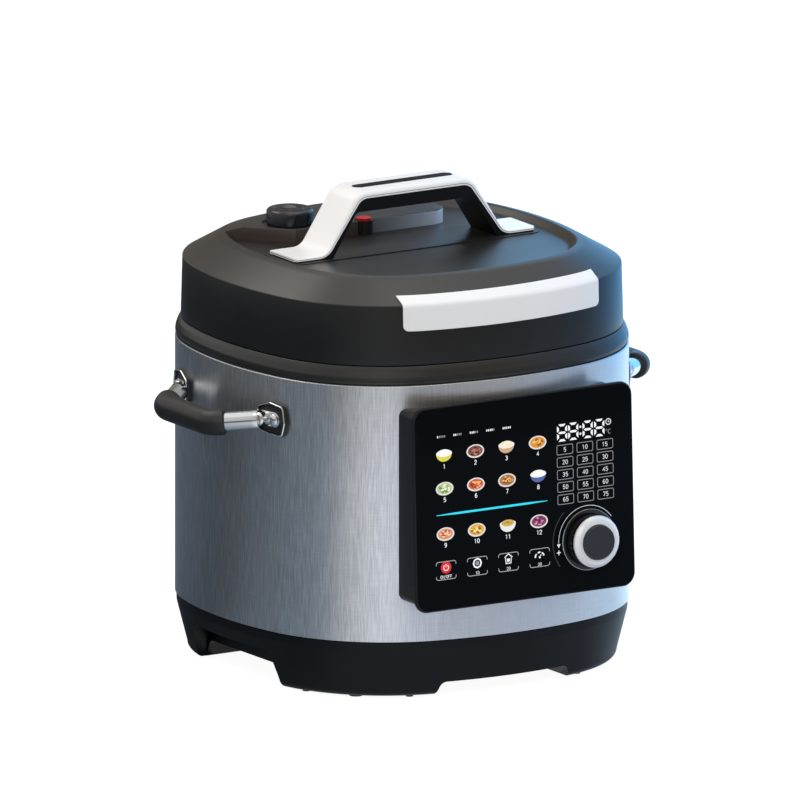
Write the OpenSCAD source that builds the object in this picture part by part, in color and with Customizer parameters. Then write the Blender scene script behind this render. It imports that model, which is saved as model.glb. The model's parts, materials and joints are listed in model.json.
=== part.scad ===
// Electric pressure cooker: a brushed steel body with rounded flat sides, a twist-lock lid with a
// bridge handle, a tilted control panel with a dial, and a bar handle on each side.
// Lengths are in millimetres. The table is z = 0, the panel faces -Y and +X is to its right.

/* [Body] */
// Width of the body across its flat sides
body_w = 280; // [272:1:300]
// Radius of the flanks, which bow out a little
flank_r = 252.4; // [244:0.2:300]
// Radius of the body's corners
corner_r = 100.8; // [94:0.2:108]
// Height of the steel shell
shell_h = 172.5; // [168:0.5:200]
// Thickness of the shell's steel sheet
shell_t = 1; // [0.6:0.1:1.6]

/* [Base] */
// Height of the shell's lower edge above the table
base_h = 40; // [38:0.5:48]
// Wall of the moulded base
base_wall = 2.6; // [2:0.1:4]
// Height of the straight band at the top of the base
base_band = 6; // [3:0.5:9]
// How far the base draws in from the band to its lower edge
base_taper = 7; // [3:0.5:10]
// Radius of the base's lower edge
base_round = 5; // [3:0.5:7]
// Height of the base's floor, between the corner feet
floor_z = 13; // [11:0.5:15]
// Height of the rubber pads under the feet
pad_h = 1.5; // [1:0.1:3]
// Width of the arch between the front feet
arch_w = 96; // [70:1:110]
// Clear height of that arch above the table
arch_h = 10.2; // [7:0.2:11]
// Width of the finger recess in each side of the base, at its top
recess_w = 95; // [80:1:104]
// Top of the finger recess above the table
recess_h = 26.3; // [20:0.1:29]
// Depth of the finger recess into the base
recess_d = 14; // [8:0.5:16]

/* [Collar] */
// Height of the black collar above the shell
collar_h = 12.5; // [11:0.5:16]
// How far the collar draws in to meet the lid
collar_in = 3.7; // [2:0.1:5]
// Wall of the collar
collar_wall = 2.6; // [2:0.1:4]

/* [Pots] */
// Distance from the body's flanks in to the inside of the removable cooking pot
pot_in = 30; // [29:0.5:40]
// Depth of the cooking pot
pot_depth = 155; // [140:1:158]
// Thickness of the cooking pot
pot_t = 1.4; // [1:0.1:2.5]
// Width of the rim on which the cooking pot hangs
pot_rim = 5.6; // [4:0.2:6]
// Radius of the bend at the foot of the cooking pot
pot_bend = 22; // [12:1:30]
// Gap between the cooking pot and the pressure pot around it
pot_gap = 1.6; // [1:0.1:3]
// Wall of the pressure pot
frame_t = 1.6; // [1.2:0.1:2.4]
// How far the heating plate stays inside the flat of the cooking pot's base
heater_in = 5.4; // [3.4:0.1:20]
// Thickness of the heating plate
heater_t = 8; // [5:0.5:12]
// Radius of the temperature probe in the middle of the heating plate
probe_r = 11; // [8:0.5:14]

/* [Bayonet] */
// Number of lugs on the lid, and of tabs on the lock ring
lug_count = 6; // [4:1:8]
// Angle that each lug and each tab takes up
lug_angle = 26; // [14:1:27]
// Thickness of the lugs
lug_t = 2.4; // [1.6:0.1:3]
// Height of the tabs' underside above the lugs' top
lug_gap = 0.8; // [0.4:0.1:1.6]
// Radial engagement of a lug under its tab
lug_reach = 3.6; // [2.5:0.1:4]

/* [Lid] */
// Height of the lid's straight skirt
skirt_h = 40.2; // [34:0.2:46]
// Draft of the skirt, from its lower to its upper edge
skirt_draft = 1.1; // [0:0.1:3]
// Wall of the lid
lid_wall = 2.5; // [1.8:0.1:3.5]
// Rise of the sloping crown above the skirt
crown_rise = 14.5; // [10:0.5:20]
// Width of the sloping crown
crown_w = 27.7; // [22:0.1:34]
// Depth of the sunk middle of the lid below the crown's crest
dish_d = 4.8; // [3:0.1:7]
// Height of the valve platform above the crest
platform_rise = 4.5; // [2:0.1:8]
// Place of the platform's front wall, behind the middle of the lid
platform_y = 36; // [33:0.5:46]
// Length of the platform's straight front wall
platform_w = 107; // [90:1:120]

/* [Lid handle] */
// Room between each end of the handle and the foot of the lid's crest
handle_room = 7.7; // [4:0.1:16]
// Width of the handle
handle_w = 34; // [26:1:38]
// Height of the handle above the sunk middle of the lid
handle_rise = 43.2; // [36:0.2:56]
// Length of the straight grip between the bends
grip_l = 88; // [70:1:96]
// Length of each pad
handle_pad = 24; // [20:1:30]
// Thickness of the white cover band
band_t = 2.4; // [1.6:0.1:3.2]
// Depth of the band's side lips along the grip
lip_t = 4.6; // [3.4:0.1:6]
// Thickness of the handle's legs under the band
leg_t = 3.8; // [3:0.1:6]
// Thickness of the grip under the band
grip_t = 11; // [7:0.5:14]
// Length of the inlay on top of the grip
inlay_l = 75; // [50:1:80]
// Width of the inlay
inlay_w = 7.5; // [5:0.5:12]

/* [Lid trim] */
// Width of the white trim on the front of the lid
trim_w = 150; // [120:1:160]
// Thickness of the trim
trim_t = 1.2; // [0.8:0.1:2]
// How far the trim reaches down the skirt
trim_drop = 17; // [10:0.5:24]
// How far the trim reaches onto the crown
trim_lap = 8; // [4:0.5:12]

/* [Valves] */
// Place of the pressure valve, left of the middle
valve_x = 52; // [46:1:56]
// Place of the pressure valve, behind the middle
valve_y = 56; // [54:1:60]
// Radius of the pressure valve's knob
knob_r = 15.5; // [12:0.5:17]
// Height of the knob
knob_h = 10; // [8:0.5:16]
// Turn of the knob from sealing to release
knob_swing = 45; // [30:5:60]
// Radius of the float valve's housing
float_r = 6; // [5:0.2:7]
// Travel of the float
float_travel = 3; // [2:0.5:4]

/* [Control panel] */
// Width of the panel's front plate
panel_w = 167; // [150:1:176]
// Height of the plate's lower edge above the steel shell's lower edge
panel_low = 24.5; // [20:0.5:40]
// Distance of the plate's upper edge below the steel shell's upper edge
panel_high = 11; // [8:0.5:24]
// Radius of the plate's corners
panel_r = 9; // [5:0.5:14]
// Thickness of the plate
panel_t = 3; // [2:0.1:4]
// Bevel around the plate's front edge
panel_bevel = 1.4; // [0.6:0.1:2]
// Distance of the plate's middle in front of the body's flank
panel_out = 11.2; // [10:0.2:16]
// Tilt of the plate, its lower edge forwards
panel_tilt = 2; // [0:0.5:4]
// How much smaller the housing is than the plate, all round
housing_in = 1.8; // [1:0.1:3]
// Wall of the housing
housing_wall = 2.4; // [1.8:0.1:3]

/* [Dial] */
// Place of the dial, right of the plate's middle
dial_x = 49.4; // [40:0.2:56]
// Place of the dial, below the plate's middle
dial_drop = 33.5; // [28:0.5:40]
// Radius of the dial's foot
dial_r = 20.3; // [16:0.1:22]
// Radius of the white ring at the dial's front
ring_r = 17.3; // [13:0.1:19]
// Radius of the button in the ring
button_r = 11.6; // [8:0.1:13]
// Height of the white ring's face above the plate
ring_front = 13; // [9:0.5:16]
// Height of the button's face above the plate
button_front = 15.6; // [12:0.1:18]
// Travel of the button
button_travel = 1; // [0.5:0.1:1.5]

/* [Side handles] */
// Half the distance between a handle's two brackets
bracket_y = 56; // [50:1:60]
// Distance of the brackets below the steel shell's upper edge
bracket_drop = 28.5; // [22:0.5:40]
// Radius of the chrome bar
bar_r = 5.8; // [4:0.1:7]
// Radius of the grip sleeve
sleeve_r = 8.8; // [7:0.1:11]
// Reach of the grip's middle line beyond the brackets
bar_reach = 32; // [26:1:40]
// Half the length of the grip's straight middle
sleeve_half = 22; // [16:1:26]
// Angle by which the arms splay out from square
arm_splay = 41; // [30:1:50]
// Droop of the handles, outwards from the brackets
handle_droop = 8; // [0:1:12]

/* [Hidden] */
$fn = 64;

// Clearances: between pieces that move apart, between a shaft and its bore, and around a fixed piece
gap = 0.3;
running = 0.05;
fit = 0.1;
seat_gap = 0.05;

// Plan outline: four flank arcs and four corner arcs that meet tangentially
half_w = body_w / 2;
flank_c = flank_r - half_w;
arc_span = flank_r - corner_r;
corner_c = (sqrt(8 * arc_span * arc_span - 4 * flank_c * flank_c) - 2 * flank_c) / 4;
flank_a = atan2(corner_c, corner_c + flank_c);
flank_steps = 8;
corner_steps = 10;
NORMALS = [
    for (q = [0:3]) each concat(
        [for (i = [0:flank_steps - 1]) 90 * q - flank_a + 2 * flank_a * i / flank_steps],
        [for (i = [0:corner_steps - 1]) 90 * q + flank_a + (90 - 2 * flank_a) * i / corner_steps])
];

function turned(v, a) = [v[0] * cos(a) - v[1] * sin(a), v[0] * sin(a) + v[1] * cos(a)];

// Point of the outline whose outward normal points along angle a, drawn in by inset
function plan_point(a, inset) =
    let (
        q = floor((a + 45) / 90),
        b = a - 90 * q,
        flank = abs(b) < flank_a + 0.001,
        c = flank ? [-flank_c, 0] : [corner_c, sign(b) * corner_c],
        r = (flank ? flank_r : corner_r) - inset
    )
    turned(c + r * [cos(b), sin(b)], 90 * q);

function plan(inset) = [for (a = NORMALS) plan_point(a, inset)];

// Half-length of a flank's own arc, before the corner's arc takes over
flank_end = flank_r * sin(flank_a);

// Distance of the wall from the middle plane beside it, at a place along it, and its turn there
function wall_at(along) = abs(along) <= flank_end
    ? sqrt(pow(flank_r, 2) - pow(along, 2)) - flank_c
    : corner_c + sqrt(pow(corner_r, 2) - pow(abs(along) - corner_c, 2));
function wall_turn(along) = abs(along) <= flank_end
    ? asin(along / flank_r)
    : sign(along) * asin((abs(along) - corner_c) / corner_r);

// Arc in a profile, from angle a0 to a1
function arc(c, r, a0, a1, steps) = [
    for (i = [0:steps]) let (a = a0 + (a1 - a0) * i / steps) c + r * [cos(a), sin(a)]
];

// Outline of a rectangle with round corners, centred
function rounded(w, h, r) = [
    for (q = [0:3]) each
        arc([(q == 0 || q == 3 ? 1 : -1) * (w / 2 - r), (q < 2 ? 1 : -1) * (h / 2 - r)],
            r, 90 * q, 90 * q + 90, 8)
];

function unit(v) = v / norm(v);

// Points of the arc of radius r that rounds the corner b between a and c
function fillet(a, b, c, r, steps = 8) =
    let (
        u = unit(a - b),
        v = unit(c - b),
        h = acos(u * v) / 2,
        o = b + unit(u + v) * r / sin(h),
        s = b + u * r / tan(h) - o,
        t = b + v * r / tan(h) - o,
        a0 = atan2(s[1], s[0]),
        d = atan2(t[1], t[0]) - a0,
        sweep = d > 180 ? d - 360 : d < -180 ? d + 360 : d
    )
    arc(o, r, a0, a0 + sweep, steps);

// Solid with the body's plan: [inset, z] stations run up its outside, and down its inside if hollow
module loft(stations) {
    count = len(NORMALS);
    last = len(stations) - 1;
    points = [for (s = stations) for (p = plan(s[0])) [p[0], p[1], s[1]]];
    sides = [
        for (j = [0:last - 1]) for (i = [0:count - 1])
            let (n = (i + 1) % count)
            [j * count + i, (j + 1) * count + i, (j + 1) * count + n, j * count + n]
    ];
    foot = [for (i = [0:count - 1]) i];
    top = [for (i = [count - 1:-1:0]) last * count + i];
    polyhedron(points, concat([foot, top], sides));
}

// Closed band with the body's plan: [inset, z] stations run around its cross-section
module hoop(stations) {
    count = len(NORMALS);
    rings = len(stations);
    points = [for (s = stations) for (p = plan(s[0])) [p[0], p[1], s[1]]];
    sides = [
        for (j = [0:rings - 1]) for (i = [0:count - 1])
            let (n = (i + 1) % count, k = (j + 1) % rings)
            [j * count + i, k * count + i, k * count + n, j * count + n]
    ];
    polyhedron(points, sides);
}

// Round rod swept along a path in the XY plane, with a radius at each of its points
module rod(path, radii, sides = 16) {
    last = len(path) - 1;
    points = [
        for (k = [0:last])
            let (
                t = unit(path[min(k + 1, last)] - path[max(k - 1, 0)]),
                n = [-t[1], t[0]]
            )
            for (i = [0:sides - 1])
                let (a = 360 * i / sides, p = path[k] + radii[k] * cos(a) * n)
                [p[0], p[1], radii[k] * sin(a)]
    ];
    skin = [
        for (k = [0:last - 1]) for (i = [0:sides - 1])
            let (j = (i + 1) % sides)
            [k * sides + i, (k + 1) * sides + i, (k + 1) * sides + j, k * sides + j]
    ];
    foot = [for (i = [0:sides - 1]) i];
    top = [for (i = [sides - 1:-1:0]) last * sides + i];
    polyhedron(points, concat([foot, top], skin));
}

module at_corners(x, y) {
    for (i = [-1, 1]) for (j = [-1, 1]) translate([i * x, j * y, 0]) children();
}

module around(count, r, a0 = 0) {
    for (i = [0:count - 1]) rotate([0, 0, a0 + 360 * i / count]) translate([r, 0, 0]) children();
}

module tube(r_out, r_in, h) {
    difference() {
        cylinder(r = r_out, h = h);
        translate([0, 0, -1]) cylinder(r = r_in, h = h + 2);
    }
}

// Levels of the body, from the table up
rim_z = base_h + shell_h;
deck_z = rim_z + collar_h;
band_z = base_h - base_band;

// Levels and radii of the pots and the bayonet
pot_drop = 6;
tab_room = 2.8;
well_room = 1;
ring_wall = 2.2;
tab_t = 2.4;
pot_r = half_w - pot_in;
pot_top = deck_z - pot_drop;
pot_base = 1.5 * pot_t;
pot_z = pot_top - pot_depth - pot_base;
pot_out = pot_r + pot_t;
rim_r = pot_out + pot_rim;
frame_r = pot_out + pot_gap;
flange_z = pot_top - pot_t;
ledge_z = flange_z - frame_t;
heater_r = pot_out - pot_bend - heater_in;
heater_z = pot_z - gap - heater_t;
frame_z = heater_z - frame_t;
tab_r = rim_r + tab_room;
lug_r = tab_r + lug_reach;
well_in = lug_r + well_room;
well_out = well_in + ring_wall;
seal_h = 4.1;
plate_z = pot_top + 2 * gap + seal_h;
lug_top = plate_z + lug_t;
tab_z = lug_top + lug_gap;
lug_pitch = 360 / lug_count;

// Levels of the lid
skirt_z = deck_z + gap;
edge_z = skirt_z + skirt_h;
crest_z = edge_z + crown_rise;
dish_z = crest_z - dish_d;
platform_z = crest_z + platform_rise;
skirt_in = collar_in;
edge_in = skirt_in + skirt_draft;
crest_in = edge_in + crown_w;
crest_fall = 7;
dish_in = crest_in + crest_fall;
ceiling_z = dish_z - lid_wall;
seat_d = 0.6;
seat_z = dish_z - seat_d;

// Levels of the control panel and the side handles
panel_h = shell_h - panel_low - panel_high;
panel_z = base_h + panel_low + panel_h / 2;
panel_y = half_w + panel_out;
bracket_z = rim_z - bracket_drop;

// ---------------------------------------------------------------- Base

base_in = 1;
foot_in = base_in + base_taper;
round_z = pad_h + base_round;
function base_inset(z) = base_in + base_taper * (band_z - z) / (band_z - round_z);
base_side = concat(
    arc([foot_in + base_round, round_z], base_round, 270, 180, 4),
    [[base_in, band_z], [base_in, base_h]]);
cover_r = 85;
cover_t = 1.5;
well_r = cover_r + 3;
hatch_r = cover_r - 11;
cover_screw_r = (hatch_r + cover_r) / 2;
screw_r = 1.5;
screw_head_r = 3;
screw_head_h = 1.8;
notch_r = 4;
arch_spread = 4;
recess_spread = 5.5;
recess_x = wall_at(recess_w / 2) - base_inset(recess_h) - recess_d;
inlet_w = 31;
inlet_h = 23;
inlet_d = 25;
inlet_wall = 3.2;
inlet_z = 26.5;
pin_t = 2;
pin_h = 4;
pin_l = 13;
pin_x = 7;
inlet_a = atan2(base_taper, band_z - round_z);

// Slanted-end notch that runs along Y: its width at a height, and wider below
module notch(w, h, spread, length) {
    side = [[-w / 2 - spread, -1], [w / 2 + spread, -1]];
    peak = concat(
        fillet([w / 2 + spread, 0], [w / 2, h], [0, h], notch_r, 4),
        fillet([0, h], [-w / 2, h], [-w / 2 - spread, 0], notch_r, 4));
    rotate([90, 0, 0]) linear_extrude(length, center = true) polygon(concat(side, peak));
}

// Frame of the power inlet: Y out of the back wall, Z up along its slope
module on_inlet() {
    translate([0, half_w - base_inset(inlet_z), inlet_z]) rotate([-inlet_a, 0, 0]) children();
}

module base_housing() {
    inside_z = floor_z + base_wall;
    inner_side = [
        [base_in + base_wall, base_h], [base_in + base_wall, band_z],
        [base_inset(inside_z) + base_wall, inside_z]
    ];
    color("#1d1e20") difference() {
        union() {
            loft(concat(base_side, inner_side));
            intersection() {
                loft(base_side);
                recess_linings(inside_z - 1);
            }
        }
        notch(arch_w, arch_h, arch_spread, 2 * body_w);
        rotate([0, 0, 90]) notch(recess_w, floor_z, recess_spread, 2 * body_w);
        translate([0, 0, -1]) cylinder(r = well_r, h = floor_z + 1);
        cylinder(r = hatch_r, h = base_h);
        for (s = [-1, 1]) translate([s * (recess_x + body_w / 2), 0, 0])
            rotate([0, 0, 90]) notch(recess_w, recess_h, recess_spread, body_w);
        around(4, cover_screw_r, 45) cylinder(r = screw_r + fit, h = base_h);
        on_inlet() translate([-inlet_w / 2 - fit, -inlet_d, -inlet_h / 2 - fit])
            cube([inlet_w + 2 * fit, 2 * inlet_d, inlet_h + 2 * fit]);
    }
}

// Back wall and ceiling of the finger recesses, inside the base
module recess_linings(z) {
    depth = half_w - recess_x + base_wall;
    w = recess_w + 2 * (recess_spread + base_wall);
    for (s = [-1, 1]) translate([s > 0 ? recess_x - base_wall : -half_w, -w / 2, z])
        cube([depth, w, recess_h + base_wall - z]);
}

pad_r = 4.5;
dot_r = 2.5;
dot_turn = 24.5;

// One pad at each corner, and a smaller one on each side of it
module foot_pads() {
    color("#101010") for (q = [0:3]) {
        p = plan_point(90 * q + 45, foot_in + base_round + pad_r + 1.5);
        translate([p[0], p[1], 0]) cylinder(r = pad_r, h = pad_h, $fn = 32);
        for (s = [-1, 1]) {
            e = plan_point(90 * q + 45 + s * dot_turn, foot_in + base_round + dot_r + 1.5);
            translate([e[0], e[1], 0]) cylinder(r = dot_r, h = pad_h, $fn = 24);
        }
    }
}

vent_count = 9;
vent_pitch = 12;
vent_w = 3;
vent_l = 44;
vent_x = 34;

module bottom_cover() {
    color("#3a3c3f") translate([0, 0, floor_z - cover_t]) difference() {
        cylinder(r = cover_r, h = cover_t);
        for (i = [0:vent_count - 1]) for (s = [-1, 1])
            translate([s * vent_x - vent_l / 2, (i - (vent_count - 1) / 2) * vent_pitch - vent_w / 2, -1])
                cube([vent_l, vent_w, cover_t + 2]);
        around(4, cover_screw_r, 45) translate([0, 0, -1]) cylinder(r = screw_r + fit, h = cover_t + 2);
    }
}

slot_w = 0.8;

// Screw with its head below z = 0 and a cross slot in the head
module screw(r, length, head_r, head_h) {
    translate([0, 0, -head_h]) difference() {
        union() {
            cylinder(r = head_r, h = head_h);
            cylinder(r = r, h = head_h + length);
        }
        for (a = [0, 90]) rotate([0, 0, a]) translate([-head_r * 0.6, -slot_w / 2, -1])
            cube([head_r * 1.2, slot_w, 1 + head_h / 2]);
    }
}

module cover_screws() {
    color("#9a9ca0") around(4, cover_screw_r, 45) translate([0, 0, floor_z - cover_t])
        screw(screw_r, cover_t + base_wall, screw_head_r, screw_head_h);
}

// ---------------------------------------------------------------- Body

module shell_outline() {
    difference() {
        polygon(plan(0));
        polygon(plan(shell_t));
    }
}

cable_w = 60;
cable_h = 24;

module outer_shell() {
    color("#b9bec6") difference() {
        translate([0, 0, base_h]) linear_extrude(shell_h) shell_outline();
        translate([-cable_w / 2, -half_w - panel_out, panel_z - cable_h / 2])
            cube([cable_w, 2 * panel_out, cable_h]);
        for (s = [-1, 1]) for (e = [-1, 1]) on_bracket(s, e)
            translate([0, bolt_t, -bolt_l]) cylinder(r = bolt_r + fit, h = 2 * bolt_l);
    }
}

groove_in = 0.6;
groove_h = 1;
collar_belly = 5;

// Band from the shell up to the lid, with the floor on which the pressure pot's flange rests
module top_collar() {
    inner = collar_in + collar_wall;
    color("#3a3632") difference() {
        union() {
            loft([
                [inner, deck_z - collar_wall], [inner, rim_z], [groove_in, rim_z],
                [groove_in, rim_z + groove_h], [0, rim_z + groove_h + 0.4], [0, rim_z + collar_belly],
                [0.5, rim_z + collar_belly + 1.6], [collar_in - 0.4, deck_z - 0.8], [collar_in + 0.4, deck_z]
            ]);
            translate([0, 0, ledge_z - collar_wall])
                cylinder(r = well_out + collar_wall, h = deck_z - ledge_z + collar_wall - 1);
        }
        translate([0, 0, ledge_z]) cylinder(r = well_out + fit, h = body_w);
        translate([0, 0, ledge_z - 2 * collar_wall]) cylinder(r = frame_r + frame_t + fit, h = body_w);
    }
}

// ---------------------------------------------------------------- Pots and heating

probe_room = 1;

module pressure_pot() {
    bend = pot_bend + pot_gap;
    r = frame_r;
    out = r + frame_t;
    hole = probe_r + probe_room;
    profile = concat(
        [[hole, frame_z]], arc([out - bend, frame_z + bend], bend, 270, 360, 8),
        [[out, ledge_z], [well_out, ledge_z], [well_out, flange_z], [r, flange_z]],
        arc([r - bend + frame_t, heater_z + bend - frame_t], bend - frame_t, 360, 270, 8),
        [[hole, heater_z]]);
    color("#8d9095") rotate_extrude($fn = 96) polygon(profile);
}

tab_sink = 0.6;

module lock_ring() {
    color("#c3c6ca") {
        translate([0, 0, flange_z]) tube(well_out, well_in, tab_z + tab_t + tab_sink - flange_z, $fn = 96);
        for (i = [0:lug_count - 1]) rotate([0, 0, lug_pitch * (i + 0.5) - lug_angle / 2])
            rotate_extrude(angle = lug_angle, $fn = 96)
                translate([tab_r, tab_z]) square([well_in - tab_r + 1, tab_t]);
    }
}

module inner_pot() {
    bend = pot_bend;
    profile = concat(
        [[0, pot_z]], arc([pot_out - bend, pot_z + bend], bend, 270, 360, 8),
        [[pot_out, flange_z], [rim_r, flange_z], [rim_r, pot_top], [pot_r, pot_top]],
        arc([pot_r - bend, pot_z + pot_base + bend], bend, 360, 270, 8),
        [[0, pot_z + pot_base]]);
    color("#d5d7da") rotate_extrude($fn = 96) polygon(profile);
}

heater_edge = 1;

module heating_plate() {
    color("#a9abae") translate([0, 0, heater_z]) difference() {
        union() {
            cylinder(r = heater_r, h = heater_t - heater_edge);
            translate([0, 0, heater_t - heater_edge])
                cylinder(r1 = heater_r, r2 = heater_r - 2 * heater_edge, h = heater_edge);
        }
        translate([0, 0, -1]) cylinder(r = probe_r + probe_room, h = heater_t + 2);
    }
}

cap_drop = 1;
probe_cap = heater_t + frame_t + cap_drop;
cap_z = pot_z - gap - probe_cap;
strap_t = 1.5;
strap_d = 16;
strap_z = frame_z - strap_d;
strap_w = 16;
strap_l = 60;
stem_tail = 3;
stem_r = 3.5;
spring_r = 6.2;
wire_r = 0.6;

module probe_bracket() {
    color("#8b8d90") difference() {
        union() {
            translate([-strap_l / 2, -strap_w / 2, strap_z]) cube([strap_l, strap_w, strap_t]);
            for (s = [-1, 1]) translate([s * (strap_l / 2 - strap_t / 2) - strap_t / 2,
                -strap_w / 2, strap_z]) cube([strap_t, strap_w, frame_z - strap_z]);
        }
        translate([0, 0, strap_z - 1]) cylinder(r = stem_r + running, h = strap_t + 2);
    }
}

// Coil of round wire, as rings of six points along a helix
module probe_spring() {
    turns = 4;
    per_turn = 12;
    sides = 6;
    low = strap_z + strap_t + wire_r + fit;
    high = cap_z - wire_r - fit;
    last = turns * per_turn;
    points = [
        for (k = [0:last]) for (i = [0:sides - 1])
            let (a = 360 * k / per_turn, b = 360 * i / sides, r = spring_r + wire_r * cos(b))
            [r * cos(a), r * sin(a), low + (high - low) * k / last + wire_r * sin(b)]
    ];
    skin = [
        for (k = [0:last - 1]) for (i = [0:sides - 1])
            let (j = (i + 1) % sides)
            [k * sides + i, k * sides + j, (k + 1) * sides + j, (k + 1) * sides + i]
    ];
    foot = [for (i = [sides - 1:-1:0]) i];
    top = [for (i = [0:sides - 1]) last * sides + i];
    color("#c9ccd0") polyhedron(points, concat([foot, top], skin));
}

module temperature_probe() {
    color("#c8cacd") {
        translate([0, 0, cap_z]) cylinder(r = probe_r, h = probe_cap);
        translate([0, 0, strap_z - stem_tail]) cylinder(r = stem_r, h = cap_z - strap_z + stem_tail + cap_drop);
    }
}

board_t = 1.6;
power_w = 112;
power_d = 46;
power_front = 40;
power_up = 6;
post_in = 6;
under_pot = 3;
capacitor_r = 6;
coil_w = 24;
coil_d = 20;
relay_w = 18;
relay_d = 14;
plug_w = 30;
plug_d = 8;
plug_h = 6;

// Board on four posts under the pressure pot; its tall parts fill the space that the pot leaves
module power_board() {
    low = floor_z + base_wall;
    top = low + power_up + board_t;
    tall = frame_z - under_pot - top;
    short = tall - 5;
    row = power_d / 4;
    color("#2f6b3c") translate([-power_w / 2, power_front - half_w, 0]) {
        translate([0, 0, low + power_up]) cube([power_w, power_d, board_t]);
        for (x = [post_in, power_w - post_in]) for (y = [post_in, power_d - post_in])
            translate([x, y, low]) cylinder(r = post_in / 2 - 0.5, h = power_up, $fn = 24);
        translate([2 * post_in, row, top]) cube([coil_w, coil_d, short]);
        translate([3 * post_in + coil_w, row, top]) cube([relay_w, relay_d, short]);
        for (i = [1, 2]) translate([power_w - post_in - capacitor_r * (3 * i - 1), row + capacitor_r, top])
            cylinder(r = capacitor_r, h = tall);
        translate([power_w - 2 * post_in - plug_w, power_d - plug_d - post_in, top]) cube([plug_w, plug_d, plug_h]);
    }
}

module power_inlet() {
    mouth_w = inlet_w - 2 * inlet_wall;
    mouth_h = inlet_h - 2 * inlet_wall;
    mouth_d = inlet_d - 2 * inlet_wall;
    color("#151515") on_inlet() {
        difference() {
            translate([-inlet_w / 2, -inlet_d, -inlet_h / 2]) cube([inlet_w, inlet_d, inlet_h]);
            translate([-mouth_w / 2, -mouth_d, -mouth_h / 2]) cube([mouth_w, mouth_d + 1, mouth_h]);
        }
        for (x = [-1, 0, 1]) translate([x * pin_x - pin_t / 2, -mouth_d - 1, x == 0 ? 1 : -pin_h + 1])
            cube([pin_t, pin_l, pin_h]);
    }
}

// ---------------------------------------------------------------- Control panel

// Frame of the panel: X to the right, Y into the body, Z up, with the plate's face at y = 0
module on_panel() {
    translate([0, -panel_y, panel_z]) rotate([-panel_tilt, 0, 0]) children();
}

// Prism with an outline in the panel's face, from depth y0 to y1 behind it
module panel_prism(outline, y0, y1) {
    translate([0, y1, 0]) rotate([90, 0, 0]) linear_extrude(y1 - y0) polygon(outline);
}

// Frame of the dial: Z stands out of the plate
module on_dial() {
    on_panel() translate([dial_x, 0, -dial_drop]) rotate([90, 0, 0]) children();
}

housing_w = panel_w - 2 * housing_in;
housing_h = panel_h - 2 * housing_in;
housing_r = panel_r - housing_in;
encoder_t = 3.8;

tray = rounded(housing_w - 2 * housing_wall, housing_h - 2 * housing_wall, housing_r - housing_wall);
board_y = panel_t + 1.2;
housing_d = 50;
post_r = 3;
post_corner = 9;
display_x = 45;
display_up = 40;
display_w = 54;
display_h = 22;
touch_x = -68;
touch_up = 36;
touch_w = 5;
touch_step = [22, 27];

module panel_housing() {
    color("#1b1c1e") difference() {
        on_panel() panel_prism(rounded(housing_w, housing_h, housing_r), panel_t, housing_d);
        difference() {
            on_panel() panel_prism(tray, panel_t - 1, housing_d);
            translate([0, 0, base_h]) linear_extrude(shell_h) polygon(plan(-housing_wall));
            on_panel() at_panel_corners() translate([0, housing_d, 0]) rotate([90, 0, 0])
                cylinder(r = post_r, h = housing_d - board_y - board_t, $fn = 32);
        }
        translate([0, 0, base_h]) linear_extrude(shell_h) polygon(plan(0));
        translate([-cable_w / 2, -panel_y, panel_z - cable_h / 2]) cube([cable_w, housing_d, cable_h]);
    }
}

module at_panel_corners() {
    for (i = [-1, 1]) for (j = [-1, 1])
        translate([i * (housing_w / 2 - post_corner), 0, j * (housing_h / 2 - post_corner)]) children();
}

module front_plate() {
    bevelled = rounded(panel_w - 2 * panel_bevel, panel_h - 2 * panel_bevel, panel_r - panel_bevel);
    color("#0d0f12") difference() {
        on_panel() hull() {
            panel_prism(bevelled, 0, panel_t);
            panel_prism(rounded(panel_w, panel_h, panel_r), panel_bevel, panel_t);
        }
        on_dial() translate([0, 0, -panel_t - 1]) cylinder(r = shaft_r + shaft_room, h = panel_t + 2);
    }
}

shaft_r = 3;
shaft_room = 1;
encoder_r = 8;

// Board with the display's body, a grid of touch pads, and a hole for the encoder
module display_board() {
    margin = housing_wall + gap;
    sheet = rounded(housing_w - 2 * margin, housing_h - 2 * margin, housing_r - margin);
    color("#23402b") difference() {
        on_panel() {
            panel_prism(sheet, board_y, board_y + board_t);
            translate([display_x, 0, display_up])
                panel_prism(rounded(display_w, display_h, 1), panel_t + fit, board_y);
            for (i = [0:3]) for (j = [0:3])
                translate([touch_x + touch_step[0] * i, 0, touch_up - touch_step[1] * j])
                    panel_prism(rounded(touch_w, touch_w, 1), panel_t + fit, board_y);
        }
        on_dial() translate([0, 0, -board_y - board_t - 1]) cylinder(r = encoder_r + 1, h = board_t + 3);
    }
}

module dial_encoder() {
    color("#a5a8ac") on_dial() {
        translate([0, 0, -panel_t - encoder_t - fit]) cylinder(r = encoder_r, h = encoder_t);
        translate([0, 0, -panel_t - 1]) cylinder(r = shaft_r, h = panel_t + 1 + hub_top);
    }
}

foot_h = 1.6;
foot_edge = 0.8;
hub_top = 4.2;
cup_z = 4.8;
ring_h = 3.2;
ring_bevel = 2.2;
dish_sink = 0.6;
barrel_top = ring_front - ring_h;

module dial_foot() {
    color("#202226") on_dial() rotate_extrude()
        polygon([[ring_r + gap, 0], [dial_r, 0], [dial_r, foot_edge], [dial_r - foot_edge, foot_h], [ring_r + gap, foot_h]]);
}

module dial_barrel() {
    color("#26282b") on_dial() rotate_extrude() polygon([
        [shaft_r + running, gap], [ring_r, gap], [ring_r, barrel_top], [button_r + gap, barrel_top],
        [button_r + gap, cup_z], [shaft_r + running, cup_z]
    ]);
}

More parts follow.
